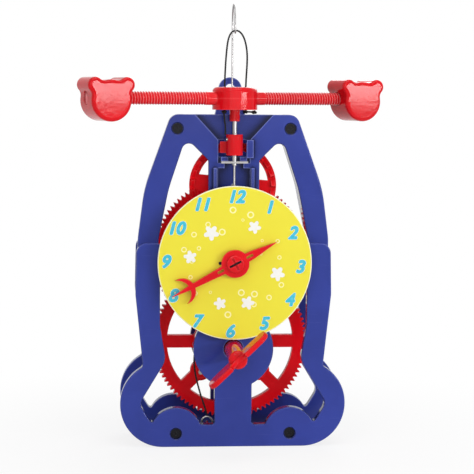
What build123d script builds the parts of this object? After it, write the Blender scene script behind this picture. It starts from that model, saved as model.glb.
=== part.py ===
from build123d import *
from math import acos, cos, pi, radians, sin, sqrt, tan
import os

# Toy weight-driven clock with a verge and foliot, in millimetres.
# +X is right seen from the dial, +Y is back, +Z is up, and the feet stand on Z = 0.
# The front plate's middle plane is Y = 0, and the verge rod stands in it too.

# Driving dimensions: fits and cuts
cut_over = 2
fixed_fit = 0.02
running_fit = 0.05
free_gap = 0.3
edge_round = 0.8
soft_round = 2.2
tongue_round = 4.4
corner_round = 1

# Driving dimensions: frame outline
frame_height = 205
base_half_width = 69.6
trough_height = 13.8
disc_radius = 24.7
column_half_width = 15.7
channel_half_width = 9.8
window_apex_round = 4.3
tab_rise = 15.7
tab_radius = 7.3
tab_hole_radius = 3.1
tab_neck_half_width = 9.5
rear_top_drop = 4.6
rear_arm_inset = 2.6
rear_boss_radius = 5

# Driving dimensions: depth of each layer, from the front to the back
front_plate_thickness = 6
upper_skin = 4.5
vee_recess = 3
vee_wall = 4
arm_wall = 2.5
arm_depth = 13
crown_front = 9.5
crown_tooth_height = 3
crown_rim_depth = 3
gear_thickness = 4
gear_gap = 1.5
ratchet_thickness = 5
great_thickness = 5
sleeve_gap = 3
plate_gap = 1
rear_plate_thickness = 6
drum_gap = 1
drum_depth = 11
flange_thickness = 1.5

# Driving dimensions: gear train
wheel_teeth = 96
middle_teeth = 80
pinion_teeth = 12
pressure_angle = 25
tooth_thinning = 0.2
addendum_share = 0.9
dedendum_share = 1.15
spoke_width = 8
gear_hub_radius = 9
sleeve_radius = 4.5
winding_arbor_radius = 3
hour_arbor_radius = 2
crown_arbor_radius = 1.5
crown_rim_width = 5
crown_hub_radius = 6.5
crown_teeth = 25
crown_spoke_width = 10
crown_tilt = -5
ratchet_radius = 14
ratchet_tooth_height = 2
ratchet_teeth = 24
click_pivot_radius = 26.5
click_pivot_angle = -45
click_boss_radius = 6.5
click_pin_radius = 1.5
click_width = 4
spring_post_radius = 22.6
spring_post_angle = -4
spring_length = 6.8
spring_post_size = 1.6
spring_thickness = 0.8

# Driving dimensions: cord drum, winding key and drive cord
cord_radius = 0.55
winding_radius = 23.4
flange_radius = 24.3
winding_turns = 4
winding_pitch = 1.6
key_hole_radius = 6.1
key_boss_radius = 5.6
key_reach = 36
key_wing_span = 46
key_wing_depth = 16
key_wing_thickness = 3.2
key_wing_round = 6
key_angle = 44
key_pin_radius = 1
key_pin_setback = 8
ring_wire_radius = 0.6
ring_radius = 3.2
cord_knot_gap = 0.2
peg_radius = 1.1
peg_x = -15.6
peg_height = 12.6

# Driving dimensions: dial and hour hand
dial_radius = 47
dial_thickness = 2
dial_round = 0.5
dial_standoff = 6
dial_hole_radius = 4
dial_pin_radius = 2
dial_pin_spacing = 9
dial_pin_tip_radius = 1
hand_gap = 1.5
hand_thickness = 2.5
hand_long = 43.7
hand_short = 28.8
hand_hub_radius = 8.5
hand_root_half_width = 3
hand_angle = 207.9
crescent_centre = 36
crescent_radius = 8
crescent_bite_centre = 39.5
crescent_bite_radius = 8.3
hand_cap_radius = 5.3
hand_cap_thickness = 2
cap_slot_width = 1.4

# Driving dimensions: foliot, verge and weights
rest_angle = 20
hub_radius = 13.8
hub_lift = 3
hub_depth = 13.7
hub_round = 3
boss_radius = 3.15
boss_length = 7
bar_rise = 6.8
bar_radius = 4
bar_start = 9
bar_collar = 5
bar_end = 95
thread_pitch = 1.76
thread_depth = 0.45
weight_centre = 83
weight_depth = 24
weight_head_radius = 12.3
weight_head_drop = 1.5
weight_ear_radius = 4.6
weight_ear_x = 9.8
weight_ear_rise = 7.6
weight_bore_radius = 4.15
verge_radius = 1.5
verge_neck_radius = 0.7
pallet_collar_radius = 5.1
upper_collar_length = 12.8
lower_collar_length = 11
flag_reach = 9
flag_thickness = 2.4
flag_length = 7
flag_lift = 1.4
flag_turn = 45
strand_radius = 7
strand_hole_radius = 0.75
knot_radius = 1.3

# Driving dimensions: bearings and suspension
guide_thickness = 1.2
guide_half_width = 8.2
guide_front = 3
ear_height = 2.6
ear_inner = 3.6
ear_outer = 8
bridge_wall = 2
ledge_height = 3.2
ledge_width = 4
crown_bridge_half_height = 3.2
foot_block_half_width = 4
foot_block_height = 6.6
foot_block_front = 3.5
foot_hole_depth = 3.2
rib_half_width = 0.9
rib_proud = 1.2
tab_block_width = 4.2
tab_block_height = 11
wire_radius = 0.5
wire_foot_y = 24
saddle_radius = 1.8
saddle_rise = 46.4
saddle_upturn = 3
arch_rise = 17.9
socket_half_width = 5
socket_height = 11
socket_rear = 4
cock_half_width = 4.5
cock_thickness = 3.5

# Driving dimensions: pillars and screws
pillar_height = 8.3
upper_pillar_drop = 8.6
pillar_radius = 5
upper_pillar_radius = 4
screw_radius = 1.5
screw_head_radius = 3.1
screw_head_depth = 1.2
screw_grip = 8
counterbore_radius = 3.4
counterbore_depth = 3.2
upper_counterbore_depth = 2.4
counterbore_chamfer = 0.6
small_screw_radius = 1.2
small_head_radius = 2.4
small_head_depth = 1.6

# Hand-chosen shares of the base's half width
curl_share = 0.3822
hump_share = 0.2328
pedestal_share = 0.1652
pillar_share = 0.5057
upper_pillar_share = 0.4986
arm_bulge_share = 0.7888
arm_width_share = 0.2155
top_share = 0.5532
window_apex_share = 0.4253
vee_top_share = 0.3448

# Hand-chosen shares of the frame's height
module_share = 0.00487805
winding_share = 0.298049
great_rim_share = 0.1951
middle_rim_share = 0.1659
crown_share = 0.1317
front_plate_share = 0.6171
channel_bottom_share = 0.639
channel_top_share = 0.9244
tongue_share = 0.5024
arm_bottom_share = 0.4488
top_corner_share = 0.25
leg_tip_share = 0.3333
arm_shoulder_share = 0.6293
arm_bulge_height_share = 0.778
arm_bulge_round_share = 0.389
window_apex_height_share = 0.9307
window_shoulder_share = 0.8634
verge_bottom_share = 0.6073
lower_collar_share = 0.6415
guide_share = 0.8556
upper_collar_share = 0.879
leg_screw_shares = (0.4878, 0.5707)

# Hand-chosen shares of the curl radius, inward from the base's side and upward
shoulder_share = 1.56
waist_shares = (0.526, 1.89, 0.1)
leg_bulge_share = 0.35
leg_top_share = 0.376
leg_inner_share = 0.917
leg_corner_share = 0.24
knee_shares = (1.056, 2.03, 0.45)
notch_upper_shares = (0.444, 1.015, 0.23)
notch_lower_shares = (0.714, 0.571, 0.19)
leg_bend_share = 0.6
leg_widest_share = 0.75
arm_inset_share = 0.03

# Hand-chosen shares of other sizes
near_full_share = 0.98
bend_share = 0.45
tab_neck_share = 0.9
hand_neck_share = 0.73
hand_neck_width_share = 0.45
hand_tail_share = 0.42
hand_tail_width_share = 0.85

# Counts and angles that aren't sizes of a piece
sharp_angle = 10
gap_samples = 12
click_nose_angle = -8
spring_lean = 51.5

# Cord routes: the loop over the wire as reach and rise above the hub's underside,
# and the drive cord as x, y and the share of its height from the ring to the drum's middle
suspension_route = [
    (-7.0, 0.0), (-6.9, 14.0), (-6.3, 28.0), (-5.4, 38.0), (-4.6, 42.6),
    (-3.1, 46.1), (-0.6, 47.9), (2.3, 47.7), (4.8, 45.5), (6.6, 41.9),
    (7.9, 36.2), (8.2, 29.4), (7.15, 14.3), (7.0, 0.0),
]
drive_route = [
    (-23.4, 6.35, 0.9654), (-23.9, 6.4, 0.8245), (-23.6, 6.5, 0.6859), (-22.3, 6.6, 0.5289),
    (-20.4, 6.7, 0.3603), (-18.4, 6.8, 0.2125), (-16.6, 6.9, 0.0924), (-15.6, 6.95, 0.0),
]

# Worked-out sizes of the frame
curl_radius = curl_share * base_half_width
hump_radius = hump_share * base_half_width
pedestal_half_width = pedestal_share * base_half_width
pillar_x = pillar_share * base_half_width
upper_pillar_x = upper_pillar_share * base_half_width
arm_bulge_half_width = arm_bulge_share * base_half_width
arm_width = arm_width_share * base_half_width
top_half_width = top_share * base_half_width
window_apex_half_width = window_apex_share * base_half_width
vee_top_half_width = vee_top_share * base_half_width
gear_module = module_share * frame_height
winding_height = winding_share * frame_height
great_rim_inner_radius = great_rim_share * frame_height
middle_rim_inner_radius = middle_rim_share * frame_height
crown_radius = crown_share * frame_height
front_plate_height = front_plate_share * frame_height
channel_bottom = channel_bottom_share * frame_height
channel_top = channel_top_share * frame_height
tongue_bottom = tongue_share * frame_height
arm_bottom = arm_bottom_share * frame_height
arm_shoulder_height = arm_shoulder_share * frame_height
arm_bulge_height = arm_bulge_height_share * frame_height
arm_bulge_round = arm_bulge_round_share * frame_height
window_apex_height = window_apex_height_share * frame_height
window_shoulder_height = window_shoulder_share * frame_height
leg_screw_heights = [share * frame_height for share in leg_screw_shares]
verge_bottom = verge_bottom_share * frame_height
lower_collar_bottom = lower_collar_share * frame_height
guide_height = guide_share * frame_height
upper_collar_bottom = upper_collar_share * frame_height
tab_centre_height = frame_height + tab_rise
hub_bottom = frame_height + hub_lift
hub_top = hub_bottom + hub_depth
bar_height = hub_bottom + bar_rise
saddle_height = hub_bottom + saddle_rise
arch_top = saddle_height + arch_rise

# Worked-out places
front_face = -front_plate_thickness / 2
back_face = front_plate_thickness / 2
upper_back = back_face + upper_skin
vee_front = back_face + vee_recess
vee_back = vee_front + vee_wall
crown_back = crown_front + crown_tooth_height + crown_rim_depth
middle_front = crown_back + gear_gap
middle_back = middle_front + gear_thickness
ratchet_front = middle_back + gear_gap / 2
ratchet_back = ratchet_front + ratchet_thickness
great_front = ratchet_back + plate_gap
cock_front = middle_back + plate_gap
great_back = great_front + great_thickness
hour_front = great_back + sleeve_gap
hour_back = hour_front + great_thickness
rear_front = hour_back + plate_gap
rear_back = rear_front + rear_plate_thickness
drum_front = back_face + drum_gap
drum_back = drum_front + drum_depth
wheel_radius = gear_module * wheel_teeth / 2
middle_radius = gear_module * middle_teeth / 2
pinion_radius = gear_module * pinion_teeth / 2
hour_height = winding_height + wheel_radius + pinion_radius
crown_height = hour_height + middle_radius + pinion_radius
dial_back = front_face - dial_standoff
dial_front = dial_back - dial_thickness
hand_back = dial_front - hand_gap
hand_front = hand_back - hand_thickness
upper_pillar_height = frame_height - upper_pillar_drop
leg_screw_x = base_half_width - curl_radius * (leg_top_share + leg_inner_share) / 2
ring_height = peg_height - peg_radius - free_gap + ring_radius - ring_wire_radius
cord_foot = ring_height + ring_radius + ring_wire_radius + cord_knot_gap


# Outlines and slabs
def rounded_face(corners):
    """Flat face in X and Z from corners given as (x, z, corner radius)."""
    points = [(x, z) for x, z, _ in corners]
    radii = [radius for _, _, radius in corners]
    return make_face(FilletPolyline(*points, radius=radii, close=True))


def both_sides(face):
    """The face together with its mirror image about the middle."""
    return face + mirror(face, about=Plane.YZ)


def slab(face, front, back):
    """Extrude a face drawn in X and Z from the front to the back depth."""
    return extrude(Plane.XZ.offset(-back) * face, back - front)


def rod(radius, front, back, x=0, z=0):
    """Round bar along Y."""
    return slab(Pos(x, z) * Circle(radius), front, back)


def upright(radius, bottom, top, x=0, y=0):
    """Round bar along Z."""
    return extrude(Pos(x, y, bottom) * Circle(radius), top - bottom)


def block(x0, x1, y0, y1, z0, z1):
    """Box between two corners."""
    centre = Pos((x0 + x1) / 2, (y0 + y1) / 2, (z0 + z1) / 2)
    return centre * Box(x1 - x0, y1 - y0, z1 - z0)


def screw_seat(x, z, face, facing, depth):
    """Counterbore with a chamfered rim, sunk from a face at one depth; facing is 1 into +Y."""
    ends = sorted((face - facing * cut_over, face + facing * depth))
    rim = Cone(counterbore_radius, counterbore_radius + counterbore_chamfer, counterbore_chamfer)
    rim = Pos(x, face + facing * counterbore_chamfer / 2, z) * Rot(90 * facing, 0, 0) * rim
    return rod(counterbore_radius, ends[0], ends[1], x, z) + rim


def sharp_corners(face):
    """Corners of an outline where two edges meet at an angle."""
    edges = face.face().outer_wire().order_edges()
    corners = []
    for before, after in zip(edges, edges[1:] + edges[:1]):
        if (before % 1).get_angle(after % 0) > sharp_angle:
            corners.append(face.vertices().sort_by_distance(before @ 1)[0])
    return corners


def from_curl(inward_share, height, radius):
    """Outline corner measured inward from the base's side in curl radii."""
    return (base_half_width - inward_share * curl_radius, height, radius)


def curl_corner(shares):
    """Outline corner wholly in curl radii: inward, upward and rounding."""
    return from_curl(shares[0], shares[1] * curl_radius, shares[2] * curl_radius)


def lower_outline():
    """Base bar, curled feet, legs, pedestal and bearing disc."""
    leg_corner = leg_corner_share * curl_radius
    half = rounded_face([
        (0, 0, 0),
        (base_half_width, 0, curl_radius),
        from_curl(0, shoulder_share * curl_radius, near_full_share * curl_radius),
        curl_corner(waist_shares),
        from_curl(leg_bulge_share, leg_widest_share * front_plate_height, arm_width),
        from_curl(leg_top_share, front_plate_height, leg_corner),
        from_curl(leg_inner_share, front_plate_height, leg_tip_share * leg_corner),
        from_curl(leg_inner_share, leg_bend_share * front_plate_height, curl_radius),
        curl_corner(knee_shares),
        curl_corner(notch_upper_shares),
        curl_corner(notch_lower_shares),
        (pedestal_half_width, trough_height, soft_round),
        (pedestal_half_width, winding_height, 0),
        (0, winding_height, 0),
    ])
    hump = Pos(pillar_x, pillar_height) * Circle(hump_radius)
    ground = Pos(0, pillar_height - hump_radius) * Rectangle(4 * base_half_width, 2 * hump_radius)
    disc = Pos(0, winding_height) * Circle(disc_radius)
    outline = both_sides(half + (hump - ground)) + disc
    return fillet(sharp_corners(outline), corner_round)


def upper_half():
    """Right half of the A-shaped plate, with the arm, window and column."""
    arm_inner_share = leg_inner_share - arm_inset_share
    arm_outer_share = leg_top_share + arm_inset_share
    return rounded_face([
        (0, frame_height, 0),
        (top_half_width, frame_height, top_corner_share * curl_radius),
        (arm_bulge_half_width, arm_bulge_height, arm_bulge_round),
        from_curl(arm_outer_share, arm_shoulder_height, curl_radius),
        from_curl(arm_outer_share, arm_bottom, soft_round),
        from_curl(arm_inner_share, arm_bottom, soft_round),
        from_curl(arm_inner_share, arm_shoulder_height, curl_radius),
        (arm_bulge_half_width - arm_width, arm_bulge_height, arm_bulge_round),
        (window_apex_half_width, window_apex_height, window_apex_round),
        (column_half_width, window_shoulder_height, soft_round),
        (column_half_width, tongue_bottom, tongue_round),
        (0, tongue_bottom, 0),
    ])


def vee_face(grow):
    """Trapezium of the recess over the verge, grown by a margin."""
    return make_face(Polyline(
        (-vee_top_half_width - grow, frame_height),
        (vee_top_half_width + grow, frame_height),
        (channel_half_width + grow, channel_top),
        (-channel_half_width - grow, channel_top),
        close=True,
    ))


# Screws along Y
def screw(x, z, head_front, facing, grip, radius, head_radius, head_depth):
    """Screw whose head starts at head_front; facing is 1 into +Y and -1 into -Y."""
    ends = sorted((head_front, head_front + facing * head_depth))
    head = rod(head_radius, ends[0], ends[1], x, z)
    reach = head_front + facing * (head_depth + grip)
    ends = sorted((head_front + facing * head_depth, reach))
    shank = rod(radius, ends[0], ends[1], x, z)
    cross = block(x - head_radius / 2, x + head_radius / 2, head_front - head_depth / 2,
                  head_front + head_depth / 2, z - radius / 4, z + radius / 4)
    return head + shank - cross - Pos(x, 0, z) * Rot(0, 90, 0) * Pos(-x, 0, -z) * cross


# Frame plates
def front_plate():
    plate = slab(lower_outline(), front_face, back_face)
    outer = plate.faces().sort_by(Axis.Y)[0].outer_wire().edges()
    plate = fillet(outer, edge_round)
    plate -= rod(winding_arbor_radius + running_fit, front_face - cut_over, back_face + cut_over,
                 0, winding_height)
    plate -= rod(key_hole_radius, front_face - cut_over, 0, 0, winding_height)
    for side in (-1, 1):
        x = side * pillar_x
        plate -= rod(screw_radius + fixed_fit, front_face - cut_over, back_face + cut_over,
                     x, pillar_height)
        plate -= screw_seat(x, pillar_height, front_face, 1, counterbore_depth)
        for height in leg_screw_heights:
            plate -= rod(small_screw_radius + fixed_fit, 0, back_face + cut_over,
                         side * leg_screw_x, height)
    peg_end = drum_front + 2 * flange_thickness + ring_radius
    return plate + rod(peg_radius, 0, peg_end, peg_x, peg_height)


def upper_plate():
    half = upper_half()
    plate = slab(both_sides(half), back_face, upper_back)
    outer = plate.faces().sort_by(Axis.Y)[0].outer_wire().edges()
    plate = fillet(outer, edge_round)
    ring = half - offset(half, amount=-arm_wall)
    zone_left = window_apex_half_width + arm_wall / 2
    zone = Pos(zone_left + base_half_width / 2, frame_height / 2)
    walls = ring & (zone * Rectangle(base_half_width, 2 * frame_height))
    plate += slab(both_sides(walls), upper_back - arm_wall / 2, back_face + arm_depth)
    plate += slab(vee_face(arm_wall), vee_front, vee_back)
    plate -= slab(vee_face(0), back_face - cut_over, vee_front)
    channel_middle = (channel_bottom + channel_top) / 2
    channel = Rectangle(2 * channel_half_width, channel_top - channel_bottom)
    plate -= slab(Pos(0, channel_middle) * channel, back_face - cut_over, vee_front)
    plate -= slab(Pos(0, channel_middle) * channel, back_face, upper_back + cut_over)
    plate += bridge()
    for side in (-1, 1):
        x = side * upper_pillar_x
        plate -= rod(screw_radius + fixed_fit, back_face - cut_over, upper_back + cut_over,
                     x, upper_pillar_height)
        plate -= screw_seat(x, upper_pillar_height, back_face, 1, upper_counterbore_depth)
        plate -= rod(upper_pillar_radius + free_gap, upper_back, upper_back + arm_depth,
                     x, upper_pillar_height)
        for height in leg_screw_heights:
            plate -= rod(small_screw_radius + fixed_fit, back_face - cut_over,
                         upper_back + cut_over, side * leg_screw_x, height)
        plate -= rod(dial_pin_radius + fixed_fit, back_face - cut_over, upper_back + cut_over,
                     side * dial_pin_spacing, hour_height)
    plate -= rod(hour_arbor_radius + running_fit, back_face - cut_over, upper_back + cut_over,
                 0, hour_height)
    return plate


def bridge():
    """Back wall of the verge channel with the crown bearing, and its ledges, ears, ribs and tab."""
    wall_front = upper_back - bridge_wall
    ear_bottom = guide_height + guide_thickness
    bars = block(-channel_half_width, channel_half_width, wall_front, upper_back,
                 crown_height - crown_bridge_half_height, ear_bottom + ear_height)
    bars -= rod(crown_arbor_radius + running_fit, back_face - cut_over, upper_back + cut_over,
                0, crown_height)
    for side in (-1, 1):
        ends = sorted((side * ear_inner, side * ear_outer))
        bars += block(ends[0], ends[1], back_face, wall_front, ear_bottom, ear_bottom + ear_height)
        ends = sorted((side * (channel_half_width - ledge_width), side * channel_half_width))
        bars += block(ends[0], ends[1], back_face, upper_back,
                      guide_height - ledge_height, guide_height)
        rib_x = side * (channel_half_width + 2 * rib_half_width)
        bars += block(rib_x - rib_half_width, rib_x + rib_half_width, back_face - rib_proud,
                      upper_back, channel_bottom, guide_height - guide_front)
    bars += block(channel_half_width - tab_block_width / 2, channel_half_width + tab_block_width / 2,
                  back_face - rib_proud, upper_back,
                  channel_top - tab_block_height, channel_top)
    return bars


def rear_plate():
    face = lower_outline() + offset(both_sides(upper_half()), amount=-rear_arm_inset)
    for x, z in pillar_places():
        face += Pos(x, z) * Circle(rear_boss_radius)
    rear_top = frame_height - rear_top_drop
    face -= Pos(0, rear_top + frame_height / 2) * Rectangle(frame_height, frame_height)
    column_top = tongue_bottom + rear_arm_inset + tongue_round
    column = Rectangle(2 * pedestal_half_width, column_top - winding_height)
    face += Pos(0, (column_top + winding_height) / 2) * column
    face += make_face(Polyline(
        (-tab_neck_half_width, rear_top - cut_over),
        (tab_neck_half_width, rear_top - cut_over),
        (tab_neck_half_width, frame_height),
        (tab_radius * tab_neck_share, tab_centre_height - tab_radius / 2),
        (-tab_radius * tab_neck_share, tab_centre_height - tab_radius / 2),
        (-tab_neck_half_width, frame_height),
        close=True,
    ))
    face += Pos(0, tab_centre_height) * Circle(tab_radius)
    face -= Pos(0, tab_centre_height) * Circle(tab_hole_radius)
    plate = slab(face, rear_front, rear_back)
    bearings = (
        (winding_arbor_radius, winding_height),
        (hour_arbor_radius, hour_height),
    )
    for radius, height in bearings:
        plate -= rod(radius + running_fit, rear_front - cut_over, rear_back + cut_over, 0, height)
    for x, z in pillar_places():
        plate -= rod(screw_radius + fixed_fit, rear_front - cut_over, rear_back + cut_over, x, z)
        plate -= screw_seat(x, z, rear_back, -1, counterbore_depth)
    return plate


def pillar_places():
    """Axes of the four pillars as (x, z)."""
    lower = [(side * pillar_x, pillar_height) for side in (-1, 1)]
    upper = [(side * upper_pillar_x, upper_pillar_height) for side in (-1, 1)]
    return lower + upper


def pillar(x, z, front, radius):
    """Spacer between a front plate and the rear plate, drilled at both ends."""
    body = rod(radius, front, rear_front, x, z)
    body -= rod(screw_radius + fixed_fit, front - cut_over, front + screw_grip, x, z)
    return body - rod(screw_radius + fixed_fit, rear_front - screw_grip, rear_front + cut_over, x, z)


# Screws of the frame
def lower_screws():
    head = front_face + counterbore_depth - screw_head_depth
    grip = front_plate_thickness - counterbore_depth + screw_grip / 2
    return [screw(side * pillar_x, pillar_height, head, 1, grip, screw_radius,
                  screw_head_radius, screw_head_depth) for side in (-1, 1)]


def upper_screws():
    head = back_face + upper_counterbore_depth - screw_head_depth
    grip = upper_skin - upper_counterbore_depth + screw_grip / 2
    return [screw(side * upper_pillar_x, upper_pillar_height, head, 1, grip, screw_radius,
                  screw_head_radius, screw_head_depth) for side in (-1, 1)]


def rear_screws():
    head = rear_back - counterbore_depth + screw_head_depth
    grip = rear_plate_thickness - counterbore_depth + screw_grip / 2
    return [screw(x, z, head, -1, grip, screw_radius, screw_head_radius, screw_head_depth)
            for x, z in pillar_places()]


def leg_screws():
    head = upper_back + small_head_depth
    return [screw(side * leg_screw_x, height, head, -1, upper_skin + back_face / 2,
                  small_screw_radius, small_head_radius, small_head_depth)
            for side in (-1, 1) for height in leg_screw_heights]


# Dial and bearings
def dial():
    plate = rod(dial_radius, dial_front, dial_back, 0, hour_height)
    plate -= rod(dial_hole_radius, dial_front - cut_over, dial_back + cut_over, 0, hour_height)
    plate -= rod(dial_pin_tip_radius + fixed_fit, dial_front - cut_over, dial_back + cut_over,
                 -dial_pin_spacing, hour_height)
    return fillet(plate.edges().filter_by(GeomType.CIRCLE).sort_by(SortBy.RADIUS)[-2:], dial_round)


def dial_pins():
    """Two pegs in the tongue; the left one has a thin tip that shows through the dial."""
    left, right = [rod(dial_pin_radius, dial_back, upper_back, side * dial_pin_spacing, hour_height)
                   for side in (-1, 1)]
    left += rod(dial_pin_tip_radius, dial_front, dial_back, -dial_pin_spacing, hour_height)
    return [left, right]


def verge_guide_plate():
    plate = block(-guide_half_width, guide_half_width, -guide_front, upper_back - bridge_wall,
                  guide_height, guide_height + guide_thickness)
    return plate - upright(verge_radius + running_fit, guide_height - cut_over,
                           guide_height + cut_over)


def verge_foot_bearing():
    top = verge_bottom + foot_hole_depth - free_gap / 2
    body = block(-foot_block_half_width, foot_block_half_width, -foot_block_front, back_face,
                 top - foot_block_height, top)
    return body - upright(verge_radius + running_fit, top - foot_hole_depth, top + cut_over)


# Suspension wire and its socket
def wire_socket():
    top = frame_height - socket_rear / 2
    body = block(-socket_half_width, socket_half_width, vee_back, wire_foot_y + socket_rear,
                 top - socket_height, top)
    return body - upright(wire_radius + fixed_fit, top - socket_height + socket_rear / 2,
                          top + cut_over, 0, wire_foot_y)


def crown_cock():
    """Arm hanging from the socket with the crown arbor's back bearing."""
    top = frame_height - socket_rear / 2 - socket_height
    arm_back = cock_front + cock_thickness
    body = block(-cock_half_width, cock_half_width, cock_front, arm_back, crown_height, top)
    body += rod(cock_half_width, cock_front, arm_back, 0, crown_height)
    return body - rod(crown_arbor_radius + running_fit, cock_front - cut_over,
                      arm_back + cut_over, 0, crown_height)


def suspension_wire():
    arch_round = near_full_share * (wire_foot_y - saddle_radius) / 2
    hook_round = near_full_share * saddle_radius
    foot = frame_height - socket_height
    path = FilletPolyline(
        (0, wire_foot_y, foot),
        (0, wire_foot_y, arch_top),
        (0, saddle_radius, arch_top),
        (0, saddle_radius, saddle_height),
        (0, -saddle_radius, saddle_height),
        (0, -saddle_radius, saddle_height + saddle_upturn),
        radius=[arch_round, arch_round, hook_round, hook_round],
    )
    return swept(path, wire_radius)


# Cords
def swept(path, radius):
    """Round bar of one radius along a path."""
    section = Plane(origin=path @ 0, z_dir=path % 0) * Circle(radius)
    return sweep(section, path=path)


def cord_tube(name, points):
    """Cord along hand-chosen points, each bend as wide as its runs allow."""
    corners = [Vector(point) for point in points]
    runs = [after - before for before, after in zip(corners, corners[1:])]
    radii = []
    for before, after in zip(runs, runs[1:]):
        half_turn = radians(before.get_angle(after) / 2)
        radii.append(bend_share * min(before.length, after.length) / tan(half_turn))
    path = FilletPolyline(*points, radius=radii)
    tube = swept(path, cord_radius)
    ratio = tube.volume / (pi * cord_radius ** 2 * path.length)
    print(name, "radii", [round(radius, 1) for radius in radii])
    print(name, "length", round(path.length, 1), "volume ratio", round(ratio, 4))
    return tube


def suspension_cord():
    route = [(reach, 0, hub_bottom + rise) for reach, rise in suspension_route]
    return turned(cord_tube("suspension_cord", route))


def drive_cord():
    span = winding_height - cord_foot
    return cord_tube("drive_cord", [(x, y, cord_foot + share * span) for x, y, share in drive_route])


def biarc(start, start_way, end, end_way):
    """Two arcs, tangent to each other and to the ways at both ends."""
    chord = end - start
    along = chord.dot(start_way + end_way)
    spread = 2 * (1 - start_way.dot(end_way))
    reach = (sqrt(along ** 2 + spread * chord.dot(chord)) - along) / spread
    middle = (start + start_way * reach + end - end_way * reach) / 2
    first = TangentArc(start, middle, tangent=start_way)
    return [first, TangentArc(middle, end, tangent=first % 1)]


def end_run(arc, end):
    """Straight run of one cord diameter beyond an end of the winding."""
    way = (arc % end) * (2 * cord_radius)
    return Line((arc @ 0) - way, arc @ 0) if end == 0 else Line(arc @ 1, (arc @ 1) + way)


def drum_winding():
    """One layer of cord on the drum, leaving it downward on the left at the front lane."""
    quarters = round(winding_turns * 4)
    lane = drum_front + flange_thickness + free_gap + cord_radius

    def place(quarter):
        angle = pi + (quarter - quarters) * pi / 2
        depth = lane + winding_pitch * (quarters - quarter) / 4
        return Vector(winding_radius * cos(angle), depth,
                      winding_height + winding_radius * sin(angle))

    def heading(quarter):
        angle = pi + (quarter - quarters) * pi / 2
        rise = winding_pitch / (2 * pi)
        return Vector(-winding_radius * sin(angle), -rise, winding_radius * cos(angle)).normalized()

    arcs = []
    for quarter in range(quarters):
        arcs += biarc(place(quarter), heading(quarter), place(quarter + 1), heading(quarter + 1))
    path = Wire([end_run(arcs[0], 0)] + arcs + [end_run(arcs[-1], 1)])
    samples = quarters * gap_samples
    points = [path @ (k / samples) for k in range(samples + 1)]
    gaps = [(points[i] - points[j]).length for i in range(len(points))
            for j in range(i + 2 * gap_samples, len(points))]
    print("drum_winding least gap", round(min(gaps) - 2 * cord_radius, 2))
    return swept(path, cord_radius)


def cord_ring():
    ring = Torus(ring_radius, ring_wire_radius)
    middle = drum_front + flange_thickness + free_gap + cord_radius + ring_wire_radius
    return Pos(peg_x, middle, ring_height) * Rot(90, 0, 0) * ring


# Foliot
def turned(piece):
    """Turn a foliot piece about the verge to the angle it rests at."""
    return Rot(0, 0, rest_angle) * piece


def bar_hole():
    """Space for both arms through the hub's rim."""
    length = hub_radius - bar_start + cut_over
    hole = Pos(bar_start + length / 2, 0, bar_height) * Rot(0, 90, 0)
    hole = hole * Cylinder(bar_radius + fixed_fit, length)
    return hole + Rot(0, 0, 180) * hole


def strand_holes():
    return [upright(strand_hole_radius, hub_bottom - cut_over, hub_top + cut_over,
                    side * strand_radius, 0) for side in (-1, 1)]


def foliot_hub_base():
    body = upright(hub_radius, hub_bottom, bar_height)
    body += upright(boss_radius, hub_bottom - boss_length, hub_bottom + cut_over)
    body -= upright(verge_radius + fixed_fit, hub_bottom - boss_length - cut_over, hub_bottom)
    body -= bar_hole()
    for hole in strand_holes():
        body -= hole
    for side in (-1, 1):
        body -= upright(small_screw_radius + fixed_fit, hub_bottom - cut_over,
                        bar_height + cut_over, 0, side * bar_start)
        body -= upright(small_head_radius + running_fit, hub_bottom - cut_over,
                        hub_bottom + small_head_depth, 0, side * bar_start)
    return turned(body)


def foliot_hub_cap():
    body = upright(hub_radius, bar_height, hub_top)
    body = fillet(body.edges().group_by(Axis.Z)[-1], hub_round)
    body -= bar_hole()
    for hole in strand_holes():
        body -= hole
    for side in (-1, 1):
        body -= upright(small_screw_radius + fixed_fit, bar_height - cut_over,
                        bar_height + hub_round, 0, side * bar_start)
    return turned(body)


def hub_screws():
    pieces = []
    for side in (-1, 1):
        head = upright(small_head_radius, hub_bottom, hub_bottom + small_head_depth,
                       0, side * bar_start)
        shank = upright(small_screw_radius, hub_bottom, bar_height + hub_round - free_gap,
                        0, side * bar_start)
        pieces.append(turned(head + shank))
    return pieces


def arm():
    """Threaded bar, drawn as ridges at the thread's pitch."""
    collar_end = hub_radius + bar_collar
    ridges = int((bar_end - collar_end) / thread_pitch)
    outline = [(bar_start, 0), (bar_start, bar_radius), (collar_end, bar_radius)]
    for ridge in range(ridges):
        foot = collar_end + ridge * thread_pitch + thread_pitch / 2
        outline.append((foot, bar_radius - thread_depth))
        outline.append((foot + thread_pitch / 2, bar_radius))
    outline += [(bar_end, bar_radius), (bar_end, 0)]
    bar = revolve(make_face(Polyline(*outline, close=True)), Axis.X)
    return Pos(0, 0, bar_height) * bar


def weight():
    """Bear-head nut without a face, its outline facing forward and its bore along the arm."""
    head = Pos(0, -weight_head_drop) * Circle(weight_head_radius)
    for side in (-1, 1):
        head += Pos(side * weight_ear_x, weight_ear_rise) * Circle(weight_ear_radius)
    head = fillet(sharp_corners(head), weight_ear_radius)
    body = slab(head, -weight_depth / 2, weight_depth / 2)
    ends = body.faces().sort_by(Axis.Y)
    body = fillet(ends[0].edges() + ends[-1].edges(), soft_round)
    body -= Rot(0, 90, 0) * Cylinder(weight_bore_radius, 4 * weight_head_radius)
    return Pos(weight_centre, 0, bar_height) * body


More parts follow.
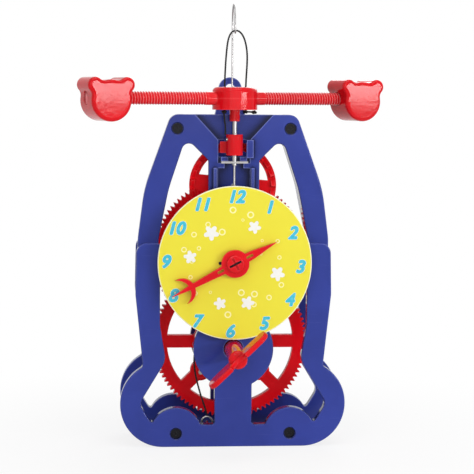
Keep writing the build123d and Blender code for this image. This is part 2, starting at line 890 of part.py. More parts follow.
def verge_rod():
    """Steel rod, turned thin between the lower collar and the guide plate."""
    collar_top = lower_collar_bottom + lower_collar_length
    rod_foot = upright(verge_radius, verge_bottom, collar_top + verge_radius)
    rod_neck = upright(verge_neck_radius, collar_top, guide_height)
    return rod_foot + rod_neck + upright(verge_radius, guide_height - guide_thickness,
                                         hub_bottom - fixed_fit)


def pallet(bottom, length, angle):
    """Collar on the verge rod with one flag towards the crown wheel."""
    body = upright(pallet_collar_radius, bottom, bottom + length)
    body = fillet(body.edges().filter_by(GeomType.CIRCLE), edge_round / 2)
    flag = block(0, flag_reach, -flag_thickness / 2, flag_thickness / 2,
                 bottom + flag_lift, bottom + flag_lift + flag_length)
    body += Rot(0, 0, angle) * flag
    body -= upright(verge_radius + fixed_fit, bottom - cut_over, bottom + length + cut_over)
    return turned(body - pallet_screw_hole(bottom + length))


def pallet_screw_hole(top):
    depth = top - flag_thickness - small_screw_radius / 2
    hole = Pos(-pallet_collar_radius, 0, depth) * Rot(0, 90, 0)
    return hole * Cylinder(small_screw_radius + fixed_fit, 2 * pallet_collar_radius)


def pallet_screws():
    pieces = []
    for bottom, length in ((upper_collar_bottom, upper_collar_length),
                           (lower_collar_bottom, lower_collar_length)):
        height = bottom + length - flag_thickness - small_screw_radius / 2
        reach = pallet_collar_radius + small_head_depth / 2 - verge_radius - free_gap
        centre = -verge_radius - free_gap - reach / 2
        shank = Pos(centre, 0, height) * Rot(0, 90, 0) * Cylinder(small_screw_radius, reach)
        pieces.append(turned(shank))
    return pieces


def cord_knots():
    height = hub_bottom - knot_radius - fixed_fit
    return [turned(Pos(side * strand_radius, 0, height) * Sphere(knot_radius))
            for side in (-1, 1)]


# Gears
def gear_face(teeth, flank_points):
    """Spur gear outline with a gap between teeth straight up."""
    pitch = gear_module * teeth / 2
    base = pitch * cos(radians(pressure_angle))
    tip = pitch + addendum_share * gear_module
    root = pitch - dedendum_share * gear_module
    start = max(root, base)
    half_pitch = (pi * gear_module / 2 - tooth_thinning) / (2 * pitch)

    def half_angle(radius):
        roll = acos(min(1, base / radius))
        full = radians(pressure_angle)
        return half_pitch + (tan(full) - full) - (tan(roll) - roll)

    radii = [start + (tip - start) * k / flank_points for k in range(flank_points + 1)]
    flank = [(radius, half_angle(radius)) for radius in radii]
    if start > root:
        flank = [(root, half_angle(start))] + flank
    points = []
    for tooth in range(teeth):
        middle = pi / 2 + (tooth + 0.5) * 2 * pi / teeth
        for radius, angle in flank:
            points.append((radius * cos(middle - angle), radius * sin(middle - angle)))
        for radius, angle in reversed(flank):
            points.append((radius * cos(middle + angle), radius * sin(middle + angle)))
    return make_face(Polyline(*points, close=True))


def spoked(face, rim_inner, bars, width, hub):
    """Open a wheel's web, leaving bars across it and a hub."""
    web = Circle(rim_inner)
    for bar in range(bars):
        web -= Rot(0, 0, 180 * bar / bars) * Rectangle(3 * rim_inner, width)
    return face - (web - Circle(hub))


def wheel(teeth, rim_inner, bars, front, back, height, bore):
    face = spoked(gear_face(teeth, 1), rim_inner, bars, spoke_width, gear_hub_radius)
    return slab(Pos(0, height) * (face - Circle(bore)), front, back)


def pinion(front, back, height, bore):
    face = Rot(0, 0, 180 / pinion_teeth) * gear_face(pinion_teeth, 3)
    return slab(Pos(0, height) * (face - Circle(bore)), front, back)


def sleeve(radius, bore, front, back, height):
    return slab(Pos(0, height) * (Circle(radius) - Circle(bore)), front, back)


def great_wheel():
    bore = winding_arbor_radius + running_fit
    body = wheel(wheel_teeth, great_rim_inner_radius, 4, great_front, great_back,
                 winding_height, bore)
    body += sleeve(sleeve_radius, bore, great_back, hour_front, winding_height)
    for side in (-1, 1):
        x, z = click_pivot(side)
        body += rod(click_boss_radius, great_front, great_back, x, z)
        body -= rod(click_pin_radius + fixed_fit, great_front - cut_over, great_back + cut_over,
                    x, z)
    return body


def hour_pinion():
    return pinion(hour_front, hour_back, winding_height, winding_arbor_radius + running_fit)


def intermediate_wheel():
    bore = hour_arbor_radius + running_fit
    body = wheel(middle_teeth, middle_rim_inner_radius, 3, middle_front, middle_back,
                 hour_height, bore)
    body += sleeve(sleeve_radius, bore, upper_back + free_gap, middle_front, hour_height)
    return body + sleeve(sleeve_radius, bore, middle_back, great_front, hour_height)


def intermediate_pinion():
    return pinion(great_front, great_back, hour_height, hour_arbor_radius + running_fit)


def hour_wheel():
    bore = hour_arbor_radius + fixed_fit
    body = wheel(wheel_teeth, great_rim_inner_radius, 3, hour_front, hour_back,
                 hour_height, bore)
    return body + sleeve(sleeve_radius, bore, great_back + free_gap, hour_front, hour_height)


def hour_arbor():
    return rod(hour_arbor_radius, hand_front, rear_back - plate_gap, 0, hour_height)


def crown_wheel():
    rim_front = crown_front + crown_tooth_height
    ring = Circle(crown_radius)
    face = spoked(ring, crown_radius - crown_rim_width, 1, crown_spoke_width, crown_hub_radius)
    face = Rot(0, 0, crown_tilt) * face - Circle(crown_arbor_radius + fixed_fit)
    body = slab(Pos(0, crown_height) * face, rim_front, crown_back)
    pitch = 2 * pi * (crown_radius - crown_rim_width) / crown_teeth
    saw = make_face(Polyline((-pitch / 2, rim_front + crown_rim_depth / 4),
                             (pitch / 2, rim_front + crown_rim_depth / 4),
                             (pitch / 2, rim_front), (pitch / 3, crown_front),
                             (-pitch / 2, rim_front), close=True))
    tooth = extrude(saw, crown_rim_width / 2)
    reach = crown_radius - crown_rim_width * 2 / 3
    teeth = [Pos(0, 0, crown_height) * Rot(0, 360 * k / crown_teeth, 0) * Pos(0, 0, reach) * tooth
             for k in range(crown_teeth)]
    return body.fuse(*teeth)


def crown_pinion():
    return pinion(crown_back, middle_back, crown_height, crown_arbor_radius + fixed_fit)


def crown_arbor():
    front = upper_back - bridge_wall + free_gap
    return rod(crown_arbor_radius, front, cock_front + cock_thickness, 0, crown_height)


# Winding work
def winding_arbor():
    body = rod(winding_arbor_radius, front_face - key_reach / 2, rear_back - plate_gap,
               0, winding_height)
    return body - key_cross_hole()


def key_cross_hole():
    hole = Pos(0, front_face - key_pin_setback, winding_height) * Rot(0, 90, 0)
    return hole * Cylinder(key_pin_radius + fixed_fit, 4 * key_boss_radius)


def key_pin():
    place = Pos(0, front_face - key_pin_setback, winding_height) * Rot(0, 90, 0)
    return place * Cylinder(key_pin_radius, 2 * key_boss_radius - edge_round)


def winding_key():
    boss_front = front_face - key_reach
    boss = rod(key_boss_radius, boss_front - key_wing_depth / 3, -plate_gap, 0, winding_height)
    boss = fillet(boss.edges().filter_by(GeomType.CIRCLE).sort_by(Axis.Y)[0], soft_round)
    wing = RectangleRounded(key_wing_span, key_wing_depth, key_wing_round)
    wing -= Pos(0, -key_wing_depth / 2) * Circle(key_boss_radius)
    wing = extrude(Pos(0, 0, -key_wing_thickness / 2) * wing, key_wing_thickness)
    wing = fillet(wing.edges().filter_by(Plane.XY), key_wing_thickness / 3)
    middle = boss_front - key_wing_depth / 4
    boss += Pos(0, middle, winding_height) * Rot(0, -key_angle, 0) * wing
    boss -= rod(winding_arbor_radius + fixed_fit, front_face - key_reach / 2, cut_over,
                0, winding_height)
    return boss - key_cross_hole()


def cord_drum():
    core = winding_radius - cord_radius - running_fit
    bore = winding_arbor_radius + fixed_fit
    body = sleeve(core, bore, drum_front, drum_back, winding_height)
    body += sleeve(flange_radius, bore, drum_front, drum_front + flange_thickness, winding_height)
    body += sleeve(flange_radius, bore, drum_back - flange_thickness, drum_back, winding_height)
    return body + sleeve(gear_hub_radius, bore, drum_back, ratchet_front, winding_height)


def ratchet_wheel():
    points = []
    for tooth in range(ratchet_teeth):
        angle = 2 * pi * tooth / ratchet_teeth
        for radius in (ratchet_radius - ratchet_tooth_height, ratchet_radius):
            points.append((radius * cos(angle), radius * sin(angle)))
    face = make_face(Polyline(*points, close=True)) - Circle(winding_arbor_radius + fixed_fit)
    return slab(Pos(0, winding_height) * face, ratchet_front, ratchet_back)


def click_pivot(side):
    angle = radians(click_pivot_angle)
    return (side * click_pivot_radius * cos(angle),
            winding_height + click_pivot_radius * sin(angle))


def click(side):
    """Pawl on the great wheel, its nose just clear of the ratchet's teeth."""
    x, z = click_pivot(side)
    nose = radians(click_nose_angle)
    nose_radius = ratchet_radius + free_gap
    face = make_face(Polyline(
        (side * nose_radius * cos(nose), winding_height + nose_radius * sin(nose)),
        (x + click_width / 2, z), (x - click_width / 2, z), close=True))
    face += Pos(x, z) * Circle(click_width)
    face -= Pos(x, z) * Circle(click_pin_radius + running_fit)
    return slab(face, ratchet_front, ratchet_back)


def click_pins():
    return [rod(click_pin_radius, ratchet_front, great_back, *click_pivot(side))
            for side in (-1, 1)]


def click_spring(side):
    """Leaf spring on a post of the great wheel, outside the click's nose."""
    angle = radians(spring_post_angle)
    post_x = side * spring_post_radius * cos(angle)
    post_z = winding_height + spring_post_radius * sin(angle)
    post = rod(spring_post_size, ratchet_front, great_front, post_x, post_z)
    leaf = block(0, spring_length, ratchet_front, ratchet_back,
                 -spring_thickness / 2, spring_thickness / 2)
    leaf = Pos(post_x, 0, post_z) * Rot(0, spring_lean if side < 0 else 180 - spring_lean, 0) * leaf
    return post + leaf


# Hour hand
def hour_hand():
    root = hand_root_half_width
    neck = hand_neck_share * hand_long
    face = make_face(Polyline(
        (hand_long, 0), (neck, root * hand_neck_width_share), (0, root),
        (-hand_short * hand_tail_share, root * hand_tail_width_share), (-hand_short, 0),
        (-hand_short * hand_tail_share, -root * hand_tail_width_share), (0, -root),
        (neck, -root * hand_neck_width_share), close=True))
    crescent = Pos(crescent_centre, 0) * Circle(crescent_radius)
    face += crescent - Pos(crescent_bite_centre, 0) * Circle(crescent_bite_radius)
    face += Circle(hand_hub_radius)
    for side in (-1, 1):
        slot = Rectangle(hand_hub_radius / 2, cap_slot_width)
        face -= Pos(side * (hand_hub_radius + cap_slot_width), 0) * slot
    face -= Circle(hour_arbor_radius + fixed_fit)
    return slab(Pos(0, hour_height) * Rot(0, 0, hand_angle) * face, hand_front, hand_back)


def hand_cap():
    cap_front = hand_front - hand_cap_thickness
    body = rod(hand_cap_radius, cap_front, hand_front, 0, hour_height)
    body = fillet(body.edges().filter_by(GeomType.CIRCLE).sort_by(Axis.Y)[0], edge_round)
    slot = Rectangle(2 * hand_cap_radius - 2 * cap_slot_width, cap_slot_width)
    cross = Rot(0, 0, hand_angle) * (slot + Rot(0, 0, 90) * slot)
    return body - slab(Pos(0, hour_height) * cross, cap_front - cut_over,
                       cap_front + hand_cap_thickness / 2)


# All pieces by name
def other_side(piece):
    """The same piece on the foliot's other arm."""
    return Rot(0, 0, 180) * piece


def pieces():
    lower_left, lower_right, upper_left, upper_right = pillar_places()
    return {
        "front_plate": front_plate(),
        "upper_plate": upper_plate(),
        "rear_plate": rear_plate(),
        "lower_left_pillar": pillar(*lower_left, back_face, pillar_radius),
        "lower_right_pillar": pillar(*lower_right, back_face, pillar_radius),
        "upper_left_pillar": pillar(*upper_left, upper_back, upper_pillar_radius),
        "upper_right_pillar": pillar(*upper_right, upper_back, upper_pillar_radius),
        "lower_screws": lower_screws(),
        "upper_screws": upper_screws(),
        "rear_screws": rear_screws(),
        "leg_screws": leg_screws(),
        "dial": dial(),
        "dial_pins": dial_pins(),
        "verge_guide_plate": verge_guide_plate(),
        "verge_foot_bearing": verge_foot_bearing(),
        "wire_socket": wire_socket(),
        "crown_cock": crown_cock(),
        "suspension_wire": suspension_wire(),
        "suspension_cord": suspension_cord(),
        "cord_knots": cord_knots(),
        "drive_cord": drive_cord(),
        "cord_ring": cord_ring(),
        "foliot_hub_base": foliot_hub_base(),
        "foliot_hub_cap": foliot_hub_cap(),
        "hub_screws": hub_screws(),
        "left_arm": turned(other_side(arm())),
        "right_arm": turned(arm()),
        "left_weight": turned(other_side(weight())),
        "right_weight": turned(weight()),
        "verge_rod": verge_rod(),
        "upper_pallet": pallet(upper_collar_bottom, upper_collar_length, 90 + flag_turn),
        "lower_pallet": pallet(lower_collar_bottom, lower_collar_length, 90 - flag_turn),
        "pallet_screws": pallet_screws(),
        "great_wheel": great_wheel(),
        "hour_pinion": hour_pinion(),
        "left_click": click(-1),
        "right_click": click(1),
        "click_pins": click_pins(),
        "left_click_spring": click_spring(-1),
        "right_click_spring": click_spring(1),
        "winding_arbor": winding_arbor(),
        "cord_drum": cord_drum(),
        "drum_winding": drum_winding(),
        "ratchet_wheel": ratchet_wheel(),
        "winding_key": winding_key(),
        "key_pin": key_pin(),
        "intermediate_wheel": intermediate_wheel(),
        "intermediate_pinion": intermediate_pinion(),
        "crown_wheel": crown_wheel(),
        "crown_pinion": crown_pinion(),
        "crown_arbor": crown_arbor(),
        "hour_wheel": hour_wheel(),
        "hour_arbor": hour_arbor(),
        "hour_hand": hour_hand(),
        "hand_cap": hand_cap(),
    }


os.makedirs("parts", exist_ok=True)
for name, piece in pieces().items():
    solids = piece if isinstance(piece, list) else [piece]
    export_step(Compound(children=[solid.solid() for solid in solids]), f"parts/{name}.step")
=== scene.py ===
"""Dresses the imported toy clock: finishes, cords, threaded bars, dial print and stage."""

import math

import bpy
from bpy.props import FloatProperty, FloatVectorProperty, PointerProperty
from mathutils import Euler, Matrix, Vector


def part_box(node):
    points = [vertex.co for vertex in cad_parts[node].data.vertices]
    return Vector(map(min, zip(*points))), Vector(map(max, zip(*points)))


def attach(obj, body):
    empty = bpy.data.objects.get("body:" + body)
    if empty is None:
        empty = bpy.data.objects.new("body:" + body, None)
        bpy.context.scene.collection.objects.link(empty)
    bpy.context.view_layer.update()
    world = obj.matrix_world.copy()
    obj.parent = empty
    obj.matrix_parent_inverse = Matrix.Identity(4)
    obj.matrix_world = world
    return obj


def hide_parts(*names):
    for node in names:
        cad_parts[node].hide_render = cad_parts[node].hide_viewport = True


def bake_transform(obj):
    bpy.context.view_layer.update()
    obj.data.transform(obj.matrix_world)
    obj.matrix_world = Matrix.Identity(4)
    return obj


bl_info = {
    "name": "Toy Verge Clock",
    "version": (1, 0, 0),
    "blender": (4, 5, 0),
    "location": "View3D > Sidebar > Clock",
    "description": "Finishes, cords, threads and dial print of a toy clock with a swinging bar",
    "category": "Object",
}

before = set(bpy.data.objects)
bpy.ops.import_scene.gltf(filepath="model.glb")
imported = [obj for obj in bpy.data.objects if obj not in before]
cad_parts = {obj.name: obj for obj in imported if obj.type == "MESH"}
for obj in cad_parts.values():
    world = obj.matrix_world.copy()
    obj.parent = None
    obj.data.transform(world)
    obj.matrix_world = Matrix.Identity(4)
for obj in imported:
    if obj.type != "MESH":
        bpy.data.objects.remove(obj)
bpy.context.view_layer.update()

# Which pieces of the frame are moulded in which colour, and which are metal
BLUE_PIECES = (
    "front_plate", "upper_plate", "lower_left_pillar", "lower_right_pillar",
    "upper_left_pillar", "upper_right_pillar", "wire_socket", "crown_cock", "verge_foot_bearing",
)
REAR_PIECES = ("rear_plate",)
RED_PIECES = (
    "foliot_hub_base", "foliot_hub_cap", "left_weight", "right_weight", "upper_pallet",
    "lower_pallet", "winding_key", "hour_hand", "hand_cap",
)
WHEEL_PIECES = (
    "great_wheel", "hour_pinion", "left_click", "right_click", "ratchet_wheel", "cord_drum",
    "intermediate_wheel", "intermediate_pinion", "crown_wheel", "crown_pinion", "hour_wheel",
)
STEEL_PIECES = (
    "verge_rod", "verge_guide_plate", "suspension_wire", "cord_ring", "winding_arbor", "hour_arbor",
    "crown_arbor", "click_pins", "key_pin", "pallet_screws", "hub_screws", "left_click_spring",
    "right_click_spring",
)
SCREW_PIECES = ("lower_screws", "upper_screws", "rear_screws", "leg_screws", "dial_pins")
DIAL_PIECES = ("dial",)

# Routes of the cords, in metres
LOOP_ROUTE = (
    (-0.0070, 0.2080), (-0.0069, 0.2220), (-0.0063, 0.2360), (-0.0054, 0.2460), (-0.0046, 0.2506),
    (-0.0031, 0.2541), (-0.0006, 0.2559), (0.0023, 0.2557), (0.0048, 0.2535), (0.0066, 0.2499),
    (0.0079, 0.2442), (0.0082, 0.2374), (0.00715, 0.2223), (0.0070, 0.2080),
)
DRIVE_ROUTE = (
    (-0.0234, 0.00635, 0.0596), (-0.0239, 0.0064, 0.0535), (-0.0236, 0.0065, 0.0475),
    (-0.0223, 0.0066, 0.0407), (-0.0204, 0.0067, 0.0334), (-0.0184, 0.0068, 0.0270),
    (-0.0166, 0.0069, 0.0218), (-0.0156, 0.00695, 0.0178),
)

# Knots under the hub, and the steps from each knot along its loose tail, in metres
KNOT_REACH = 0.007
KNOT_HEIGHT = 0.20672
KNOT_SIZE = 0.0013
LEFT_TAIL = (
    (0.0000, -0.0006, -0.0016), (0.0001, -0.0014, -0.0050),
    (0.0008, -0.0018, -0.0100), (0.0006, -0.0018, -0.0140),
)
RIGHT_TAIL = ((0.0014, -0.0008, 0.0000), (0.0034, -0.0014, 0.0000), (0.0052, -0.0022, -0.0003))
LOOSE_KNOT = (0.0052, -0.0022, -0.0002)
LOOSE_KNOT_SIZE = 0.0012
LOOSE_KNOT_TAIL = (0.0016, -0.0008, -0.0003)

# Turns of the drive cord on the drum, in metres
WOUND_TURNS = 4
WOUND_PITCH = 0.0016
WOUND_RADIUS = 0.0234
WOUND_FRONT = 0.00635

# Lengths along the swinging bar from its middle, in metres
BAR_START = 0.009
BAR_COLLAR_END = 0.0188
BAR_END = 0.095

# Dial print: shift of the ring of numbers, stroke weights as shares of the type size
NUMBER_SHIFT_X = -0.0014
NUMBER_SHIFT_Z = -0.0009
NUMBER_TURN = 2.2
NUMBER_SLOPE = 0.26
NUMBER_WEIGHT = 0.052
HALO_WEIGHT = 0.070
STROKE_COPIES = 12
STROKE_STEP = 0.000003

# Flowers on the dial: distance from the centre, angle in degrees, and radius
FLOWERS = (
    (0.0235, 128, 0.0047), (0.0250, 62, 0.0040), (0.0268, -14, 0.0045),
    (0.0255, -72, 0.0042), (0.0262, 250, 0.0038), (0.0275, 172, 0.0040),
)
FLOWER_PETALS = 5
FLOWER_BITE = 0.42

# Rings on the dial, spread by a fixed turn from one to the next
RING_COUNT = 26
RING_FIRST_TURN = 20
RING_NEXT_TURN = 137.5
RING_NEAREST = 0.013
RING_SPREAD = 0.0195
RING_RADIUS = 0.0009
RING_STEP = 0.0004
RING_HOLE = 0.62

# Colours of scratches and of the painted highlights on corners and thread crests, and of the dial's
# small pictures
BLUE_SCRATCH_AND_HIGHLIGHT = (0.26, 0.31, 0.74, 1.0)
RED_SCRATCH_AND_HIGHLIGHT = (0.86, 0.11, 0.12, 1.0)
THREAD_SCRATCH_AND_HIGHLIGHT = (0.90, 0.26, 0.27, 1.0)
LINT = (0.20, 0.20, 0.21, 1.0)
DIAL_FADE = (0.80, 0.74, 0.05, 1.0)
THIN_INK = (0.88, 0.86, 0.55, 1.0)
FLOWER_WHITE = (0.80, 0.80, 0.76)
RING_CREAM = (0.88, 0.84, 0.36)
WHITE = (1.0, 1.0, 1.0, 1.0)

# Softboxes: name, place, target, width, height, share of the lamp power
BODY_MIDDLE = (0.0, 0.0, 0.14)
SOFTBOXES = (
    ("key_softbox", (-0.60, -1.15, 1.00), BODY_MIDDLE, 0.20, 0.20, 0.12),
    ("side_softbox", (0.83, -0.865, 0.2565), (0.0, 0.0, 0.2565), 0.66, 0.10, 0.5),
    ("top_softbox", (0.0, -0.30, 1.25), BODY_MIDDLE, 0.9, 0.6, 0.5),
    ("front_softbox", (-0.10, -2.10, 0.80), BODY_MIDDLE, 2.4, 1.4, 1.3),
    ("rear_softbox", (0.35, 1.10, 0.80), BODY_MIDDLE, 0.8, 0.6, 0.5),
)
FLOOR_HALF_WIDTH = 6.0


class ClockSizes(bpy.types.PropertyGroup):
    """Sizes of the pieces that are made here."""

    cord_diameter: FloatProperty(
        name="Cord diameter", description="Thickness of the black cords",
        default=0.0011, min=0.0005, max=0.002, unit="LENGTH", precision=5)
    cord_twist: FloatProperty(
        name="Cord twist", description="Length of one turn of the cord's three strands",
        default=0.0034, min=0.001, max=0.01, unit="LENGTH", precision=5)
    thread_pitch: FloatProperty(
        name="Thread pitch", description="Step of the thread on the swinging bar",
        default=0.00176, min=0.001, max=0.006, unit="LENGTH", precision=5)
    thread_depth: FloatProperty(
        name="Thread depth", description="Depth of the thread on the swinging bar",
        default=0.00045, min=0.0001, max=0.0015, unit="LENGTH", precision=5)
    rest_angle: FloatProperty(
        name="Rest angle", description="How far the swinging bar is turned at rest",
        default=math.radians(20), subtype="ANGLE")
    numeral_size: FloatProperty(
        name="Numeral size", description="Type size of the hour numbers",
        default=0.0105, min=0.004, max=0.02, unit="LENGTH", precision=5)
    numeral_ring: FloatProperty(
        name="Numeral ring", description="Distance of the hour numbers from the dial's centre",
        default=0.0411, min=0.02, max=0.045, unit="LENGTH", precision=5)
    hand_angle: FloatProperty(
        name="Hand angle", description="How far the hand is turned up from level at rest",
        default=math.radians(27.9), subtype="ANGLE")
    pin_length: FloatProperty(
        name="Pin length", description="Length of the pin in the hand's cap",
        default=0.0078, min=0.002, max=0.01, unit="LENGTH", precision=5)
    pin_diameter: FloatProperty(
        name="Pin diameter", description="Thickness of the pin in the hand's cap",
        default=0.001, min=0.0004, max=0.0013, unit="LENGTH", precision=5)
    print_thickness: FloatProperty(
        name="Print thickness", description="Height of each layer of ink on the dial",
        default=0.00004, min=0.00001, max=0.0002, unit="LENGTH", precision=6)


class ClockColours(bpy.types.PropertyGroup):
    """Colours of the finishes."""

    blue: FloatVectorProperty(
        name="Blue", description="Frame mouldings", subtype="COLOR", default=(0.029, 0.046, 0.262))
    # The frame blue made a little darker for the back plate, as painted shade
    deep_blue: FloatVectorProperty(
        name="Shaded blue", description="Back plate", subtype="COLOR", default=(0.027, 0.042, 0.240))
    red: FloatVectorProperty(
        name="Red", description="Key, hand and swinging bar", subtype="COLOR",
        default=(0.62, 0.004, 0.009))
    # The red made lighter for the wheels that sit in shadow behind the front plate: painted light
    wheel_red: FloatVectorProperty(
        name="Lit wheel red", description="Gear wheels, drum and clicks", subtype="COLOR",
        default=(0.88, 0.006, 0.013))
    yellow: FloatVectorProperty(
        name="Yellow", description="Dial card", subtype="COLOR", default=(0.72, 0.635, 0.012))
    cyan: FloatVectorProperty(
        name="Cyan", description="Hour numbers", subtype="COLOR", default=(0.015, 0.45, 0.61))
    pale: FloatVectorProperty(
        name="Pale", description="Small pictures and the edge of the numbers", subtype="COLOR",
        default=(0.90, 0.90, 0.78))
    steel: FloatVectorProperty(
        name="Steel", description="Rod, wire and pins", subtype="COLOR", default=(0.34, 0.33, 0.33))
    dark: FloatVectorProperty(
        name="Dark", description="Blackened screws", subtype="COLOR", default=(0.010, 0.010, 0.013))
    cord: FloatVectorProperty(
        name="Cord", description="Black cord", subtype="COLOR", default=(0.009, 0.009, 0.010))


class ClockStage(bpy.types.PropertyGroup):
    """The camera and the lamps."""

    camera_place: FloatVectorProperty(
        name="Camera", description="Where the camera stands", subtype="TRANSLATION",
        default=(-0.0685, -0.950, 0.2185))
    camera_turn: FloatVectorProperty(
        name="Camera turn", description="Tilt, roll and turn of the camera", subtype="EULER",
        default=(math.radians(90) - 0.0925, 0.0, -0.0740))
    camera_roll: FloatProperty(
        name="Camera roll", description="Lean of the picture", subtype="ANGLE", default=0.0071)
    lens: FloatProperty(
        name="Lens", description="Focal length on a 36 mm sensor", unit="CAMERA", default=118.4)
    lamp_power: FloatProperty(
        name="Lamp power", description="Power of the main softbox", unit="POWER", default=11.0)


class Wire:
    """One output socket of a finish. Sums on it add Math nodes."""

    def __init__(self, finish, socket):
        self.finish = finish
        self.socket = socket

    def __add__(self, other):
        return self.finish.math("ADD", self, other)

    def __radd__(self, other):
        return self.finish.math("ADD", other, self)

    def __sub__(self, other):
        return self.finish.math("SUBTRACT", self, other)

    def __rsub__(self, other):
        return self.finish.math("SUBTRACT", other, self)

    def __mul__(self, other):
        return self.finish.math("MULTIPLY", self, other)

    def __rmul__(self, other):
        return self.finish.math("MULTIPLY", other, self)

    def __truediv__(self, other):
        return self.finish.math("DIVIDE", self, other)

    def __rtruediv__(self, other):
        return self.finish.math("DIVIDE", other, self)

    def __pow__(self, other):
        return self.finish.math("POWER", self, other)

    def __rpow__(self, other):
        return self.finish.math("POWER", other, self)


class Finish:
    """A procedural material and short ways to add its nodes."""

    def __init__(self, name):
        self.material = bpy.data.materials.new(name)
        self.material.use_nodes = True
        self.tree = self.material.node_tree
        self.shader = self.tree.nodes["Principled BSDF"]

    def feed(self, socket, value):
        """Links a wire to a socket, or sets the socket's own value."""
        if isinstance(value, Wire):
            self.tree.links.new(value.socket, socket)
        else:
            socket.default_value = value

    def node(self, kind, settings=None, inputs=None, output=0):
        """Adds a node with its settings first and then its socket values, and gives one output."""
        made = self.tree.nodes.new(kind)
        for name, value in (settings or {}).items():
            setattr(made, name, value)
        for name, value in (inputs or {}).items():
            self.feed(made.inputs[name], value)
        return Wire(self, made.outputs[output])

    def math(self, operation, *values):
        return self.node("ShaderNodeMath", {"operation": operation}, dict(enumerate(values)))

    def mix(self, share, first, second):
        """Blends two colours."""
        return self.node(
            "ShaderNodeMix", {"data_type": "RGBA"}, {0: share, 6: first, 7: second}, 2)

    def place(self):
        """Position on the piece, in metres."""
        return self.node("ShaderNodeTexCoord", output="Object")

    def stretched(self, place, scale):
        return self.node("ShaderNodeVectorMath", {"operation": "MULTIPLY"}, {0: place, 1: scale})

    def noise(self, place, scale, detail=2.0, rough=0.5):
        return self.node(
            "ShaderNodeTexNoise", None,
            {"Vector": place, "Scale": scale, "Detail": detail, "Roughness": rough})

    def between(self, value, low, high):
        """Rises smoothly from 0 at low to 1 at high."""
        return self.node(
            "ShaderNodeMapRange", {"interpolation_type": "SMOOTHSTEP"},
            {"Value": value, "From Min": low, "From Max": high})

    def edges(self, reach):
        """1 on the outer corners of a piece, and 0 on its flats."""
        clear = self.node(
            "ShaderNodeAmbientOcclusion", {"inside": True, "only_local": True, "samples": 6},
            {"Distance": reach}, "AO")
        return self.between(1 - clear, low=0.15, high=0.46)

    def crests(self):
        """1 along the tops of fine ridges, and 0 on flats and in grooves."""
        sharp = self.node("ShaderNodeNewGeometry", None, None, "Pointiness")
        return self.between(sharp, low=0.505, high=0.57)

    def hollows(self, reach):
        """1 deep in a recess of a piece, and 0 on its open faces."""
        clear = self.node(
            "ShaderNodeAmbientOcclusion", {"only_local": True, "samples": 8},
            {"Distance": reach}, "AO")
        return self.between(1 - clear, low=0.02, high=0.20)

    def bump(self, height, strength, distance):
        return self.node(
            "ShaderNodeBump", None,
            {"Height": height, "Strength": strength, "Distance": distance})

    def paint(self, sockets):
        """Feeds the shader's sockets."""
        for name, value in sockets.items():
            self.feed(self.shader.inputs[name], value)
        return self.material


def shade(colour, share):
    """A colour made lighter or darker, with its alpha."""
    return (*(min(1.0, part * share) for part in colour), 1.0)


def moulded(name, colour, gloss, scratch_and_highlight, painted_edge_highlight, painted_recess_shade, ridged=False, shine=0.12):
    """Glossy moulded plastic: pigment drift, flow lines, scratches, painted highlights on corners
    and crests, painted shade in recesses.
    """
    finish = Finish(name)
    place = finish.place()
    drift = finish.between(finish.noise(place, scale=28.0, detail=3.0), low=0.3, high=0.7)
    streaks = finish.noise(finish.stretched(place, (60.0, 60.0, 14.0)), scale=1.0)
    flow = finish.between(streaks, low=0.45, high=0.8)
    peel = finish.noise(place, scale=520.0, detail=1.0)
    grain = finish.noise(place, scale=5200.0)
    handling = finish.noise(place, scale=75.0, detail=5.0, rough=0.65)
    rubbed = finish.between(handling, low=0.5, high=0.72)
    lines = finish.noise(finish.stretched(place, (70.0, 900.0, 1500.0)), scale=1.0, detail=3.0)
    scratch = finish.between(lines, low=0.655, high=0.70)
    corner = finish.crests() if ridged else finish.edges(reach=0.0011)
    recess = finish.hollows(reach=0.030)
    body = finish.mix(drift, shade(colour, 0.90), shade(colour, 1.08))
    body = finish.mix(flow * 0.25, body, shade(colour, 1.18))
    # Painted shade: the colour darkens deep in the piece's own recesses
    body = finish.mix(recess * painted_recess_shade, body, shade(colour, 0.14))
    body = finish.mix(scratch * 0.03, body, scratch_and_highlight)
    # Painted highlight along the corners, or along the crests of a thread
    body = finish.mix(corner * painted_edge_highlight, body, scratch_and_highlight)
    height = peel * 0.75 + grain * 0.12 - scratch * 0.06
    return finish.paint({
        "Base Color": body,
        "Roughness": gloss + rubbed * 0.03 + scratch * 0.03 + grain * 0.02,
        "Normal": finish.bump(height, strength=0.10, distance=0.00025),
        "Coat Weight": 0.05 - rubbed * 0.03,
        "Coat Roughness": 0.05,
        "Specular IOR Level": shine,
        "IOR": 1.5,
    })


def polished_steel(name, colour):
    """Bright steel with fine drawing lines and a few dull spots."""
    finish = Finish(name)
    place = finish.place()
    lines = finish.noise(finish.stretched(place, (5200.0, 5200.0, 240.0)), scale=1.0)
    spots = finish.between(finish.noise(place, scale=420.0, detail=4.0), low=0.56, high=0.74)
    cloud = finish.noise(place, scale=60.0)
    body = finish.mix(cloud, shade(colour, 0.86), shade(colour, 1.12))
    body = finish.mix(spots * 0.35, body, shade(colour, 0.55))
    return finish.paint({
        "Base Color": body,
        "Metallic": 1.0,
        "Roughness": 0.27 + lines * 0.12 + spots * 0.18,
        "Normal": finish.bump(lines * 0.6 - spots * 0.4, strength=0.10, distance=0.00008),
    })


def blackened_steel(name, colour, worn):
    """Blackened screw: oil-dark flats with a little bare metal on the corners."""
    finish = Finish(name)
    place = finish.place()
    grain = finish.noise(place, scale=3000.0, detail=3.0)
    patches = finish.between(finish.noise(place, scale=700.0, detail=3.0), low=0.35, high=0.65)
    corner = finish.edges(reach=0.0004) * patches
    body = finish.mix(grain, shade(colour, 0.75), shade(colour, 1.4))
    body = finish.mix(corner * 0.18, body, shade(worn, 0.6))
    return finish.paint({
        "Base Color": body,
        "Metallic": 0.85,
        "Roughness": 0.30 + grain * 0.16,
        "Normal": finish.bump(grain, strength=0.12, distance=0.00006),
    })


